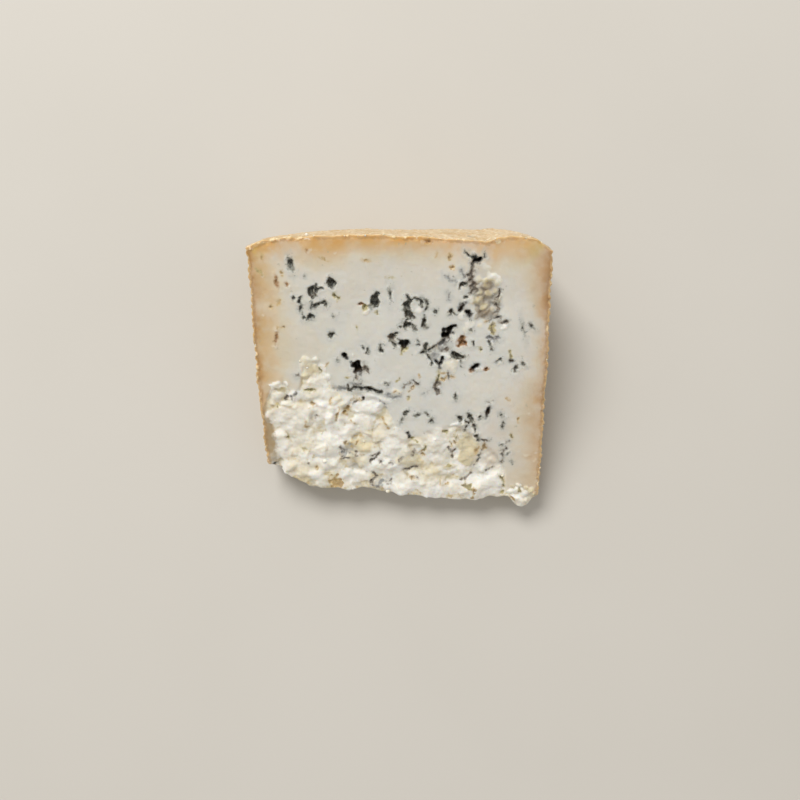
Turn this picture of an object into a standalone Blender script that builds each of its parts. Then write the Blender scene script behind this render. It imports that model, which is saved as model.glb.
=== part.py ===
"""A wedge of natural-rinded blue cheese, lying on one of its two cut faces.

The wedge is a sixteenth of a small wheel. The wheel's axis runs along X, so the
wheel's two flat sides are the left and right ends of the wedge, its rim is the
back, and the core, where the tip has crumbled off, is the front. The block is
turned from one profile, remeshed finely, shaped by a few relief rules, thinned
to a light mesh and cut level along its resting face.

Lengths are in metres. Places on the upper cut face are given as (x, r): x across
from the middle of the wheel and r out from the wheel's axis.
"""

import itertools
import math

import bmesh
import bpy
import numpy as np

MM = 0.001

NAME = "cheese_wedge"

# The wheel that the wedge was cut from
WHEEL_RADIUS = 129.5 * MM
WEDGE_ANGLE = math.radians(22.5)
CORE_SHRINK_LEFT = 2.6 * MM
FLAT_BARREL_RIGHT = 0.5 * MM

# How far the rim falls away at its shoulders, by x: along the cut edge, and halfway down to the resting face
RIM_X = np.array([
    -54, -53.5, -51.5, -49.8, -46.1, -42.5, -38, -35.2, -31.8, -28, -25.3, -9.7, 8, 15.8, 23.5, 31.2, 35.1,
    40, 42.8, 46.6, 48.6, 50.4, 51.7, 52.8, 54.2,
]) * MM
RIM_CUT = np.array([
    4.6, 4.1, 3.4, 2.9, 1.8, 1.1, 0.75, 0.55, 0.4, 0.2, 0.15, 0, 0.4, 0.8, 1.1, 1.2, 0.6,
    0.5, 0.55, 1.1, 1.5, 2.5, 3.25, 4.1, 5.2,
]) * MM
RIM_MIDDLE = np.array([
    7, 6.4, 5.5, 5, 3.8, 2.8, 2, 1.5, 1, 0.5, 0.1, 0, 0, 0, 0, 0, 0,
    0.4, 0.9, 2, 3, 4.2, 5.3, 6.8, 8.2,
]) * MM
RIM_TURN = math.radians(11)

# The broken tip: how far from the axis the cheese ends, by x
BREAK_X = np.array([-51, -48, -45.5, -42, -37, -30, -18, -5, 8, 22, 35, 42, 46, 50, 53]) * MM
BREAK_R = np.array([42, 41, 37.5, 35.5, 33.5, 32.5, 31.7, 30.5, 28.7, 27.4, 28.4, 27.6, 24.9, 25.2, 29]) * MM

# The crumbly part of the cut face lies between the break and this edge
CRUMB_X = np.array([
    -54, -52.9, -50.8, -48.7, -47, -42.6, -40.2, -37.2, -35.3, -33.1, -29.4, -26.7, -25.4, -17.7, -5.6, -3.7,
    -0.8, 7.5, 15, 20.6, 26.3, 30.6, 37.2, 40.2, 40.7, 46.3, 51.4, 54.6,
]) * MM
CRUMB_R = np.array([
    60, 64, 68, 72.8, 76.4, 77.6, 73.6, 75.2, 83.8, 86.1, 85.7, 80.3, 75.2, 72.4, 70.4, 64.8, 58.3, 56.2,
    57.9, 59.5, 57.9, 52.5, 47.5, 40.7, 32.9, 32.5, 32.5, 29.4,
]) * MM
CRUMB_BLEND = 2.5 * MM
CRUMB_SINK = 0.9 * MM
NODULE_SHARE = 0.55
NUGGET_SPACING = 5.2
NUGGET_RADIUS = (2.6, 4.6)
NUGGET_HEIGHT = (0.2, 0.9)
NUGGET_SWELL = (8.0 * MM, 0.55 * MM)
LUMP_WARP = (3.4 * MM, 0.75 * MM)

# Larger mould pockets: x, r, half length, half width in mm, turn in degrees, depth in mm
POCKETS = [
    (-24, 113.5, 1.8, 1.5, 60, 2.2),
    (-30.5, 111, 2.1, 1.6, 70, 1.6),
    (-38.5, 120, 2.6, 1.1, 100, 1.5),
    (-9, 106.5, 2.6, 1.5, 80, 2.4),
    (-1.5, 92, 3.0, 1.6, 135, 2.6),
    (-15, 80.5, 2.6, 1.7, 100, 3.0),
    (27, 122, 1.9, 1.5, 150, 3.0),
    (25, 114.5, 3.2, 1.2, 97, 1.8),
    (23, 103.5, 3.0, 1.4, 120, 3.2),
    (18, 96, 3.0, 1.7, 45, 4.0),
    (22.5, 92, 2.2, 1.5, 80, 2.2),
    (3, 100, 2.6, 1.5, 95, 1.8),
    (14.5, 83.5, 1.8, 1.5, 110, 3.0),
    (11, 87.5, 3.0, 1.4, 130, 1.8),
    (20.5, 86.5, 2.6, 1.2, 155, 2.2),
    (-11, 73, 4.6, 1.1, 172, 1.8),
    (33, 64, 2.4, 1.1, 70, 2.2),
    (31, 107, 8.0, 5.2, 90, 1.4),
]

# Lumps that stand out: x, r, half length, half width in mm, turn in degrees, height in mm
LUMPS = [
    (-33.3, 81.1, 2.9, 4.7, 10, 0.8), (-49.2, 61.5, 1.9, 2, 0, 1.6), (-44.1, 62.8, 4.1, 3.6, 0, 1.5),
    (-35.8, 64, 4.8, 3.2, 0, 1.3), (-37.5, 59.5, 4.5, 2.5, 0, 1), (-26.4, 61.5, 1.5, 2.2, 0, 1.7),
    (-27.4, 71.2, 4.4, 2, 0, 1.2), (-45.6, 53.7, 2.3, 2.5, 0, 1.5), (-44.4, 49.1, 3.8, 3.3, 0, 1.2),
    (-38.8, 54.6, 3.4, 4.1, 0, 1.3), (-33.6, 53.3, 2.6, 4.1, 0, 1), (-27.3, 49.6, 5.3, 5.4, 0, 2),
    (-41, 47, 3.4, 2.1, 0, 1), (-42.1, 41.5, 3.8, 2.1, 0, 1), (-37.6, 38.1, 2.7, 2.6, 0, 0.9),
    (-32.6, 38.1, 3.1, 2.6, 0, 1.5), (-29.7, 35.1, 2.7, 2.6, 0, 1.1), (-12.7, 65.6, 5.2, 3.2, 0, 1.4),
    (-13.9, 59.5, 4.9, 2.9, 0, 1.3), (-19.6, 55.8, 3.4, 2.9, 0, 1.1), (-5.6, 59.1, 3, 3.3, 0, 0.9),
    (-6.4, 53.7, 3, 2.5, 0, 0.9), (-11.7, 53.3, 3, 3.3, 0, 1.2), (0.8, 53.7, 2.6, 3.3, 0, 1),
    (-3, 49.1, 3.8, 4.2, 50, 1.7), (1.5, 47.5, 2.7, 3.4, 0, 1.2), (-8, 41.5, 5, 2.1, 10, 1.6),
    (-3.8, 39.8, 4.6, 2.6, 0, 1.2), (-16.1, 37.2, 3.8, 3, 0, 1.2), (0.8, 33.8, 5, 3.9, 0, 1.8),
    (8.5, 33.8, 3.1, 3.5, 0, 1.3), (5, 43.6, 3.8, 3, 0, 0.7), (12.5, 48.7, 4.6, 4.2, 0, 1.3),
    (13.6, 55.4, 3, 2.5, 0, 0.9), (24.2, 50.4, 4.9, 2.5, 0, 0.9), (25.9, 44.5, 4.6, 3.4, -20, 1),
    (15.6, 44.5, 4.6, 2.5, 0, 0.8), (14.2, 38.5, 5.4, 1.7, 0, 0.9), (31.8, 40.7, 3.4, 2.6, 30, 0.9),
    (34.2, 47, 3.4, 3.8, 0, 0.6), (29, 32.9, 6.6, 4.3, 12, 2.3), (35.4, 34.6, 4.6, 4.3, 0, 2.3),
    (13.9, 31.6, 5.8, 3, 0, 1.5), (20.5, 32, 3.1, 3, 0, 1.3), (22.1, 58.9, 2.4, 1.4, 0, 1.7),
    (43.8, 29.4, 3.1, 2, 0, 1.8), (48, 29.8, 2.7, 2.6, 0, 1.8), (45.5, 26.3, 2.3, 1.8, 0, 1.6),
    (28.8, 114.8, 2.1, 1.8, 0, 1.5), (32.3, 115.2, 2.8, 2.2, 0, 1.7), (25.5, 107.6, 1.4, 2.6, 0, 1.9),
    (30.2, 94.2, 2.9, 2.6, 0, 0.7), (19, 82.3, 2.9, 3.5, 0, 1.6),
]

# The roughness of each side: size of the bumps and how far they stand out
FACE_WAVE = (22 * MM, 0.30 * MM)
BREAK_BUMPS = (7.0 * MM, 1.5 * MM)
BREAK_GRAIN = (3.2 * MM, 0.6 * MM)
RIND_BUMPS = (6.0 * MM, 0.35 * MM)

VOXEL = 1.1 * MM
UNDERCUT = math.radians(1.5)
PROFILE_STEP = 1.5 * MM
TURN_STEPS = 14
TRIANGLES = 10800
WELD = 0.1 * MM


def value_noise(points, cell, seed):
    """Smooth noise between -1 and 1: a seeded lattice of values, blended between its corners."""
    lattice = np.random.default_rng(seed).uniform(-1, 1, (32, 32, 32))
    grid = points / cell
    base = np.floor(grid).astype(int)
    part = grid - base
    part = part * part * (3 - 2 * part)
    total = np.zeros(len(points))
    for corner in itertools.product((0, 1), repeat=3):
        weight = np.where(corner, part, 1 - part).prod(axis=1)
        i, j, k = ((base + corner) % 32).T
        total += weight * lattice[i, j, k]
    return total


def smooth_step(value):
    """0 below 0, 1 above 1 and smooth between."""
    value = np.clip(value, 0, 1)
    return value * value * (3 - 2 * value)


def left_side(r):
    """The wheel's left flat side, drawn in a little towards the core and flared at the rim."""
    inward = np.clip((110 * MM - r) / (69 * MM), 0, 1)
    flare = 1.0 * MM * smooth_step((r - 119 * MM) / (7 * MM))
    return -52.9 * MM + CORE_SHRINK_LEFT * inward ** 2 - flare


def right_side(r):
    """The wheel's right flat side, slightly bowed."""
    return 53.7 * MM - FLAT_BARREL_RIGHT * ((r - 71 * MM) / (45 * MM)) ** 2


def rim(x):
    """The wheel's rim along the cut edge, nearly straight and falling away at the two shoulders."""
    return WHEEL_RADIUS - np.interp(x, RIM_X, RIM_CUT)


def rim_swell(x, turn):
    """How much further out the rim stands below its cut edge, growing down to its middle."""
    share = smooth_step((WEDGE_ANGLE - turn) / (WEDGE_ANGLE - RIM_TURN))
    return share * (np.interp(x, RIM_X, RIM_CUT) - np.interp(x, RIM_X, RIM_MIDDLE))


def broken_tip(x):
    """How far from the axis the crumbled core ends."""
    return np.interp(x, BREAK_X, BREAK_R)


def profile():
    """The wheel's section between the break and the rim, as a closed ring of (x, r)."""
    heights = np.arange(42 * MM, 125 * MM, PROFILE_STEP)
    across = np.arange(-53 * MM, 53 * MM, PROFILE_STEP)
    left = [(left_side(r), r) for r in heights]
    back = [(x, rim(x)) for x in across]
    right = [(right_side(r), r) for r in np.arange(124.5 * MM, 29 * MM, -PROFILE_STEP)]
    front = [(x, broken_tip(x)) for x in across[::-1] if x > -50 * MM]
    return left + back + right + front


def turned_block():
    """The profile turned about the wheel's axis, from just under the resting face to the upper cut."""
    bm = bmesh.new()
    ring = [bm.verts.new((x, r, 0)) for x, r in profile()]
    edges = [bm.edges.new(pair) for pair in zip(ring, ring[1:] + ring[:1])]
    rotation = dict(cent=(0, 0, 0), axis=(1, 0, 0))
    start = bmesh.ops.spin(bm, geom=ring + edges, angle=-UNDERCUT, steps=1, **rotation)["geom_last"]
    kept = set(start)
    bmesh.ops.delete(bm, geom=[v for v in bm.verts if v not in kept], context="VERTS")
    geometry = list(bm.verts) + list(bm.edges)
    bmesh.ops.spin(bm, geom=geometry, angle=WEDGE_ANGLE + UNDERCUT, steps=TURN_STEPS, **rotation)
    bmesh.ops.holes_fill(bm, edges=[e for e in bm.edges if e.is_boundary], sides=0)
    bmesh.ops.recalc_face_normals(bm, faces=bm.faces)
    mesh = bpy.data.meshes.new(NAME)
    bm.to_mesh(mesh)
    bm.free()
    return mesh


def with_modifier(source, kind, **settings):
    """The object with one modifier applied to its mesh."""
    modifier = source.modifiers.new(kind.title(), kind)
    for key, value in settings.items():
        setattr(modifier, key, value)
    bpy.context.view_layer.update()
    evaluated = source.evaluated_get(bpy.context.evaluated_depsgraph_get())
    mesh = bpy.data.meshes.new_from_object(evaluated)
    source.modifiers.clear()
    old = source.data
    source.data = mesh
    bpy.data.meshes.remove(old)
    mesh.name = NAME


def nuggets():
    """Seeded lumps of the crumbly part, one to a cell of a loose grid, in the form of the rows of LUMPS."""
    rng = np.random.default_rng(11)
    rows = []
    for x in np.arange(-50, 46, NUGGET_SPACING):
        for r in np.arange(26, 88, NUGGET_SPACING):
            shift = rng.uniform(-0.45, 0.45, 2) * NUGGET_SPACING
            radius = rng.uniform(*NUGGET_RADIUS)
            rows.append((x + shift[0], r + shift[1], radius, radius, 0, rng.uniform(*NUGGET_HEIGHT)))
    return rows


def heaps(x, r, rows):
    """The height in mm of the tallest heap over each point: on an ellipse, its top times (1 - distance squared)."""
    height = np.zeros(len(x))
    for row_x, row_r, half_length, half_width, turn, top in rows:
        c, s = math.cos(math.radians(turn)), math.sin(math.radians(turn))
        along = ((x - row_x) * c + (r - row_r) * s) / half_length
        across = ((r - row_r) * c - (x - row_x) * s) / half_width
        height = np.maximum(height, top * (1 - along ** 2 - across ** 2))
    return height


def pits(x, r):
    """The depth of the deepest oval pocket at each point."""
    depth = np.zeros(len(x))
    for row_x, row_r, half_length, half_width, turn, deep in POCKETS:
        c, s = math.cos(math.radians(turn)), math.sin(math.radians(turn))
        along = ((x - row_x * MM) * c + (r - row_r * MM) * s) / (half_length * MM)
        across = (-(x - row_x * MM) * s + (r - row_r * MM) * c) / (half_width * MM)
        depth = np.maximum(depth, deep * MM * np.exp(-(along ** 2 + across ** 2)))
    return depth


def face_relief(x, r):
    """How far the upper cut face stands out of its plane: smooth paste, crumbly part, pockets and lumps."""
    flat = np.column_stack((x, r, np.zeros(len(x))))
    crumbly = smooth_step((np.interp(x, CRUMB_X, CRUMB_R) - r) / CRUMB_BLEND)
    bent_x = (x + LUMP_WARP[1] * value_noise(flat, LUMP_WARP[0], 21)) / MM
    bent_r = (r + LUMP_WARP[1] * value_noise(flat, LUMP_WARP[0], 22)) / MM
    lumps = heaps(bent_x, bent_r, LUMPS) * (NODULE_SHARE + (1 - NODULE_SHARE) * crumbly)
    height = np.maximum(lumps, crumbly * heaps(bent_x, bent_r, nuggets())) * MM
    swell = NUGGET_SWELL[1] * value_noise(flat, NUGGET_SWELL[0], 31)
    paste = FACE_WAVE[1] * value_noise(flat, FACE_WAVE[0], 3)
    return paste + height + crumbly * (swell - CRUMB_SINK) - pits(x, r)


def shape_surface(mesh):
    """Moves the points of the even block: relief on the cut face, bumps on the break and the rind."""
    points = np.empty(len(mesh.vertices) * 3)
    mesh.vertices.foreach_get("co", points)
    points = points.reshape(-1, 3)
    x, y, z = points.T
    r = np.hypot(y, z)
    turn = np.arctan2(z, y)
    below = WEDGE_ANGLE - turn
    depth = r * np.sin(below)
    along = r * np.cos(below)
    at_face = np.exp(-(depth / (3 * MM)) ** 2)
    at_break = np.exp(-(np.clip(r - broken_tip(x), 0, None) / (3 * MM)) ** 2)
    at_rim = np.exp(-(np.clip(rim(x) - r, 0, None) / (3 * MM)) ** 2)
    at_left = np.exp(-(np.clip(x - left_side(r), 0, None) / (3 * MM)) ** 2)
    at_right = np.exp(-(np.clip(right_side(r) - x, 0, None) / (3 * MM)) ** 2)
    normal = np.array([0, -math.sin(WEDGE_ANGLE), math.cos(WEDGE_ANGLE)])
    radial = np.column_stack((np.zeros(len(x)), y / r, z / r))
    rough = RIND_BUMPS[1] * value_noise(points, RIND_BUMPS[0], 5)
    broken = BREAK_BUMPS[1] * value_noise(points, BREAK_BUMPS[0], 7)
    broken += BREAK_GRAIN[1] * value_noise(points, BREAK_GRAIN[0], 8)
    moved = points + normal * (at_face * face_relief(x, along))[:, None]
    moved += radial * (at_rim * (rough + rim_swell(x, turn)) - at_break * broken)[:, None]
    moved[:, 0] += (at_right - at_left) * rough
    mesh.vertices.foreach_set("co", moved.ravel())
    mesh.update()


def level_and_centre(mesh):
    """Cuts the block level along its resting face and puts the origin under the middle of its box."""
    bm = bmesh.new()
    bm.from_mesh(mesh)
    everything = list(bm.verts) + list(bm.edges) + list(bm.faces)
    bmesh.ops.bisect_plane(bm, geom=everything, plane_co=(0, 0, 0), plane_no=(0, 0, 1), clear_inner=True)
    bmesh.ops.remove_doubles(bm, verts=bm.verts, dist=WELD)
    bmesh.ops.holes_fill(bm, edges=[e for e in bm.edges if e.is_boundary], sides=0)
    bmesh.ops.triangulate(bm, faces=bm.faces)
    bmesh.ops.recalc_face_normals(bm, faces=bm.faces)
    points = np.array([v.co for v in bm.verts])
    middle = (points.min(axis=0) + points.max(axis=0)) / 2
    bmesh.ops.translate(bm, verts=bm.verts, vec=(-middle[0], -middle[1], 0))
    bm.to_mesh(mesh)
    bm.free()


def cheese_material():
    """Moist ivory paste, as the wedge's own colour where nothing finer is used."""
    material = bpy.data.materials.new("blue cheese paste")
    material.use_nodes = True
    shader = material.node_tree.nodes["Principled BSDF"]
    shader.inputs["Base Color"].default_value = (0.58, 0.53, 0.43, 1)
    shader.inputs["Roughness"].default_value = 0.55
    shader.inputs["Metallic"].default_value = 0
    return material


def main():
    for leftover in list(bpy.data.objects):
        bpy.data.objects.remove(leftover, do_unlink=True)
    collection = bpy.data.collections.new("blue cheese wedge")
    bpy.context.scene.collection.children.link(collection)
    wedge = bpy.data.objects.new(NAME, turned_block())
    collection.objects.link(wedge)
    with_modifier(wedge, "REMESH", mode="VOXEL", voxel_size=VOXEL)
    shape_surface(wedge.data)
    ratio = TRIANGLES / sum(len(face.vertices) - 2 for face in wedge.data.polygons)
    with_modifier(wedge, "DECIMATE", decimate_type="COLLAPSE", ratio=ratio, use_collapse_triangulate=True)
    level_and_centre(wedge.data)
    wedge.data.materials.clear()
    wedge.data.materials.append(cheese_material())
    wedge.data.shade_smooth()
    wedge.data.set_sharp_from_angle(angle=math.radians(50))


main()
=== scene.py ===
"""A wedge of natural-rinded blue cheese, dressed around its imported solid.

The wedge is a sixteenth of a small wheel whose axis runs along X. It lies on one
cut face with the other one up: its back and both ends are rind, and its front is
the crumbled core. One closed fine mesh replaces the plain solid. It has the same
form and adds the fine crumbs, the mould pockets and the rind's relief.

Lengths are in metres. Shapes are worked out about the wheel's axis. Places on the
upper cut face are (x, r): x across from the middle of the wheel, r out from its axis.
"""

import itertools
import math

import bpy
import numpy as np
from bpy.props import FloatProperty, FloatVectorProperty, IntProperty, PointerProperty
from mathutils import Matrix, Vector


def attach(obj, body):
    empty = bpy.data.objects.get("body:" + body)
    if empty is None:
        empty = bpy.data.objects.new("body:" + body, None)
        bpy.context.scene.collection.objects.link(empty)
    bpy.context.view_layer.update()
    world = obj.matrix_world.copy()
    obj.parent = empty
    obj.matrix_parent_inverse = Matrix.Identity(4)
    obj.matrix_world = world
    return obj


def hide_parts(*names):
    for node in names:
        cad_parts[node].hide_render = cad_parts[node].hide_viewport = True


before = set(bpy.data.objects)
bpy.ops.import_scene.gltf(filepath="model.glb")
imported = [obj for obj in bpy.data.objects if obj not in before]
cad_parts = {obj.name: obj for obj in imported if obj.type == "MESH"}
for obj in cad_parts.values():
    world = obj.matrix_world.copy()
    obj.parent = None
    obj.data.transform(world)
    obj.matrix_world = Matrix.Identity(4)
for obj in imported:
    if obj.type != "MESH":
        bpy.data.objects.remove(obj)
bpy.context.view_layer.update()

bl_info = {
    "name": "Blue Cheese Wedge",
    "version": (1, 0, 0),
    "blender": (4, 5, 0),
    "location": "View3D > Sidebar > Cheese",
    "description": "Dresses a wedge of natural-rinded blue cheese around its solid",
    "category": "Add Mesh",
}

MM = 0.001
NODE = "cheese_wedge"
BODY = "root"

# The wheel that the wedge was cut from
WHEEL_RADIUS = 129.5 * MM
WEDGE_ANGLE = math.radians(22.5)

# Its left flat side: where it stands, how it is drawn in towards the core (from this distance from the
# axis, over this length, by this much) and how it flares at the rim (likewise)
LEFT_X = -52.9 * MM
LEFT_DRAWN_IN = (110 * MM, 69 * MM, 2.6 * MM)
LEFT_FLARE = (119 * MM, 7 * MM, 1.0 * MM)

# Its right flat side: where it stands, and how it bows (about this distance from the axis, over this
# length, by this much)
RIGHT_X = 53.7 * MM
RIGHT_BOW = (71 * MM, 45 * MM, 0.5 * MM)

# The wedge's ends are measured across at this distance from the axis
MIDDLE_R = 80 * MM

# How far the rim falls away at its shoulders, by x: along the cut edge, and halfway down to the resting face
RIM_X = np.array([
    -54, -53.5, -51.5, -49.8, -46.1, -42.5, -38, -35.2, -31.8, -28, -25.3, -9.7, 8, 15.8, 23.5, 31.2, 35.1,
    40, 42.8, 46.6, 48.6, 50.4, 51.7, 52.8, 54.2,
]) * MM
RIM_CUT = np.array([
    4.6, 4.1, 3.3, 2.6, 1.1, 0.3, -0.25, -0.45, -0.5, -0.5, -0.55, -1.2, -0.3, 0.2, 0.9, 1.5, 0.2,
    -0.5, -0.6, 0.3, 1.2, 2.5, 3.25, 4.1, 5.2,
]) * MM
RIM_MIDDLE = np.array([
    7, 6.4, 5.5, 5, 3.8, 2.8, 2, 1.5, 1, 0.5, 0.1, 0, 0, 0, 0, 0, 0,
    0.4, 0.9, 2, 3, 4.2, 5.3, 6.8, 8.2,
]) * MM
RIM_TURN = math.radians(11)

# The part's origin, measured from the middle of the wheel's axis
ORIGIN = np.array([0.15, 76.3, 0]) * MM

# The broken tip: how far from the axis the cheese ends, by x
BREAK_X = np.array([-51, -48, -45.5, -42, -37, -30, -18, -5, 8, 22, 35, 42, 46, 50, 53]) * MM
BREAK_R = np.array([42, 41, 37.5, 35.5, 33.5, 32.5, 31.7, 30.5, 28.7, 27.4, 28.4, 27.6, 24.9, 25.2, 29]) * MM

# The crumbly part of the cut face lies between the break and this edge
CRUMB_X = np.array([
    -54, -52.9, -50.8, -48.7, -47, -42.6, -40.2, -37.2, -35.3, -33.1, -29.4, -26.7, -25.4, -17.7, -5.6, -3.7,
    -0.8, 7.5, 15, 20.6, 26.3, 30.6, 37.2, 40.2, 40.7, 46.3, 51.4, 54.6,
]) * MM
CRUMB_R = np.array([
    60, 64, 68, 72.8, 76.4, 77.6, 73.6, 75.2, 83.8, 86.1, 85.7, 80.3, 75.2, 72.4, 70.4, 64.8, 58.3, 56.2,
    57.9, 59.5, 57.9, 52.5, 47.5, 40.7, 31.5, 34.2, 31.2, 31,
]) * MM
CRUMB_BLEND = 3.4 * MM
CRUMB_WOBBLE = (5 * MM, 1.5 * MM)
CRUMB_SINK = 0.75 * MM

# Beside the left rind a smooth ledge is left standing: how wide it is, by distance from the axis
LEDGE_R = np.array([38, 43, 48, 53, 58, 63, 70, 80]) * MM
LEDGE_WIDTH = np.array([0.3, 1.6, 2.6, 3.0, 2.0, 0.6, 0.9, 3.0]) * MM

# Between the lumps the crumbly part breaks into facets: size in mm, how far they drop and how they tilt
FACETS = (5.6, 0.34, 0.12)
SMALL_FACETS = (2.3, 0.12, 0.11)
FACET_SHARPNESS = 11

# How lumps melt together in mm, the share of the height read off that they keep, how round they are, how
# far their skirts reach past their outline, and the share of their height outside the crumbly part
LUMP_BLEND = 0.2
LUMP_RISE = 0.72
LUMP_ROUND = 1.7
LUMP_SKIRT = 1.3
NODULE_SHARE = 0.6

# The hollow that the nodules sit in: x, r, half length across and out, and depth, and the tone of its lining,
# which is partly painted shade between the nodules
HOLLOW = (31 * MM, 107 * MM, 5.2 * MM, 8 * MM, 1.3 * MM)
HOLLOW_TONE = 3.6

# The small domes in the hollow: cell, radii and heights, and the share of the lumps' bend that they follow
NODULES = (2.5 * MM, (1.2 * MM, 1.8 * MM), (0.45 * MM, 0.95 * MM))
NODULE_BEND = 0.3

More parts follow.
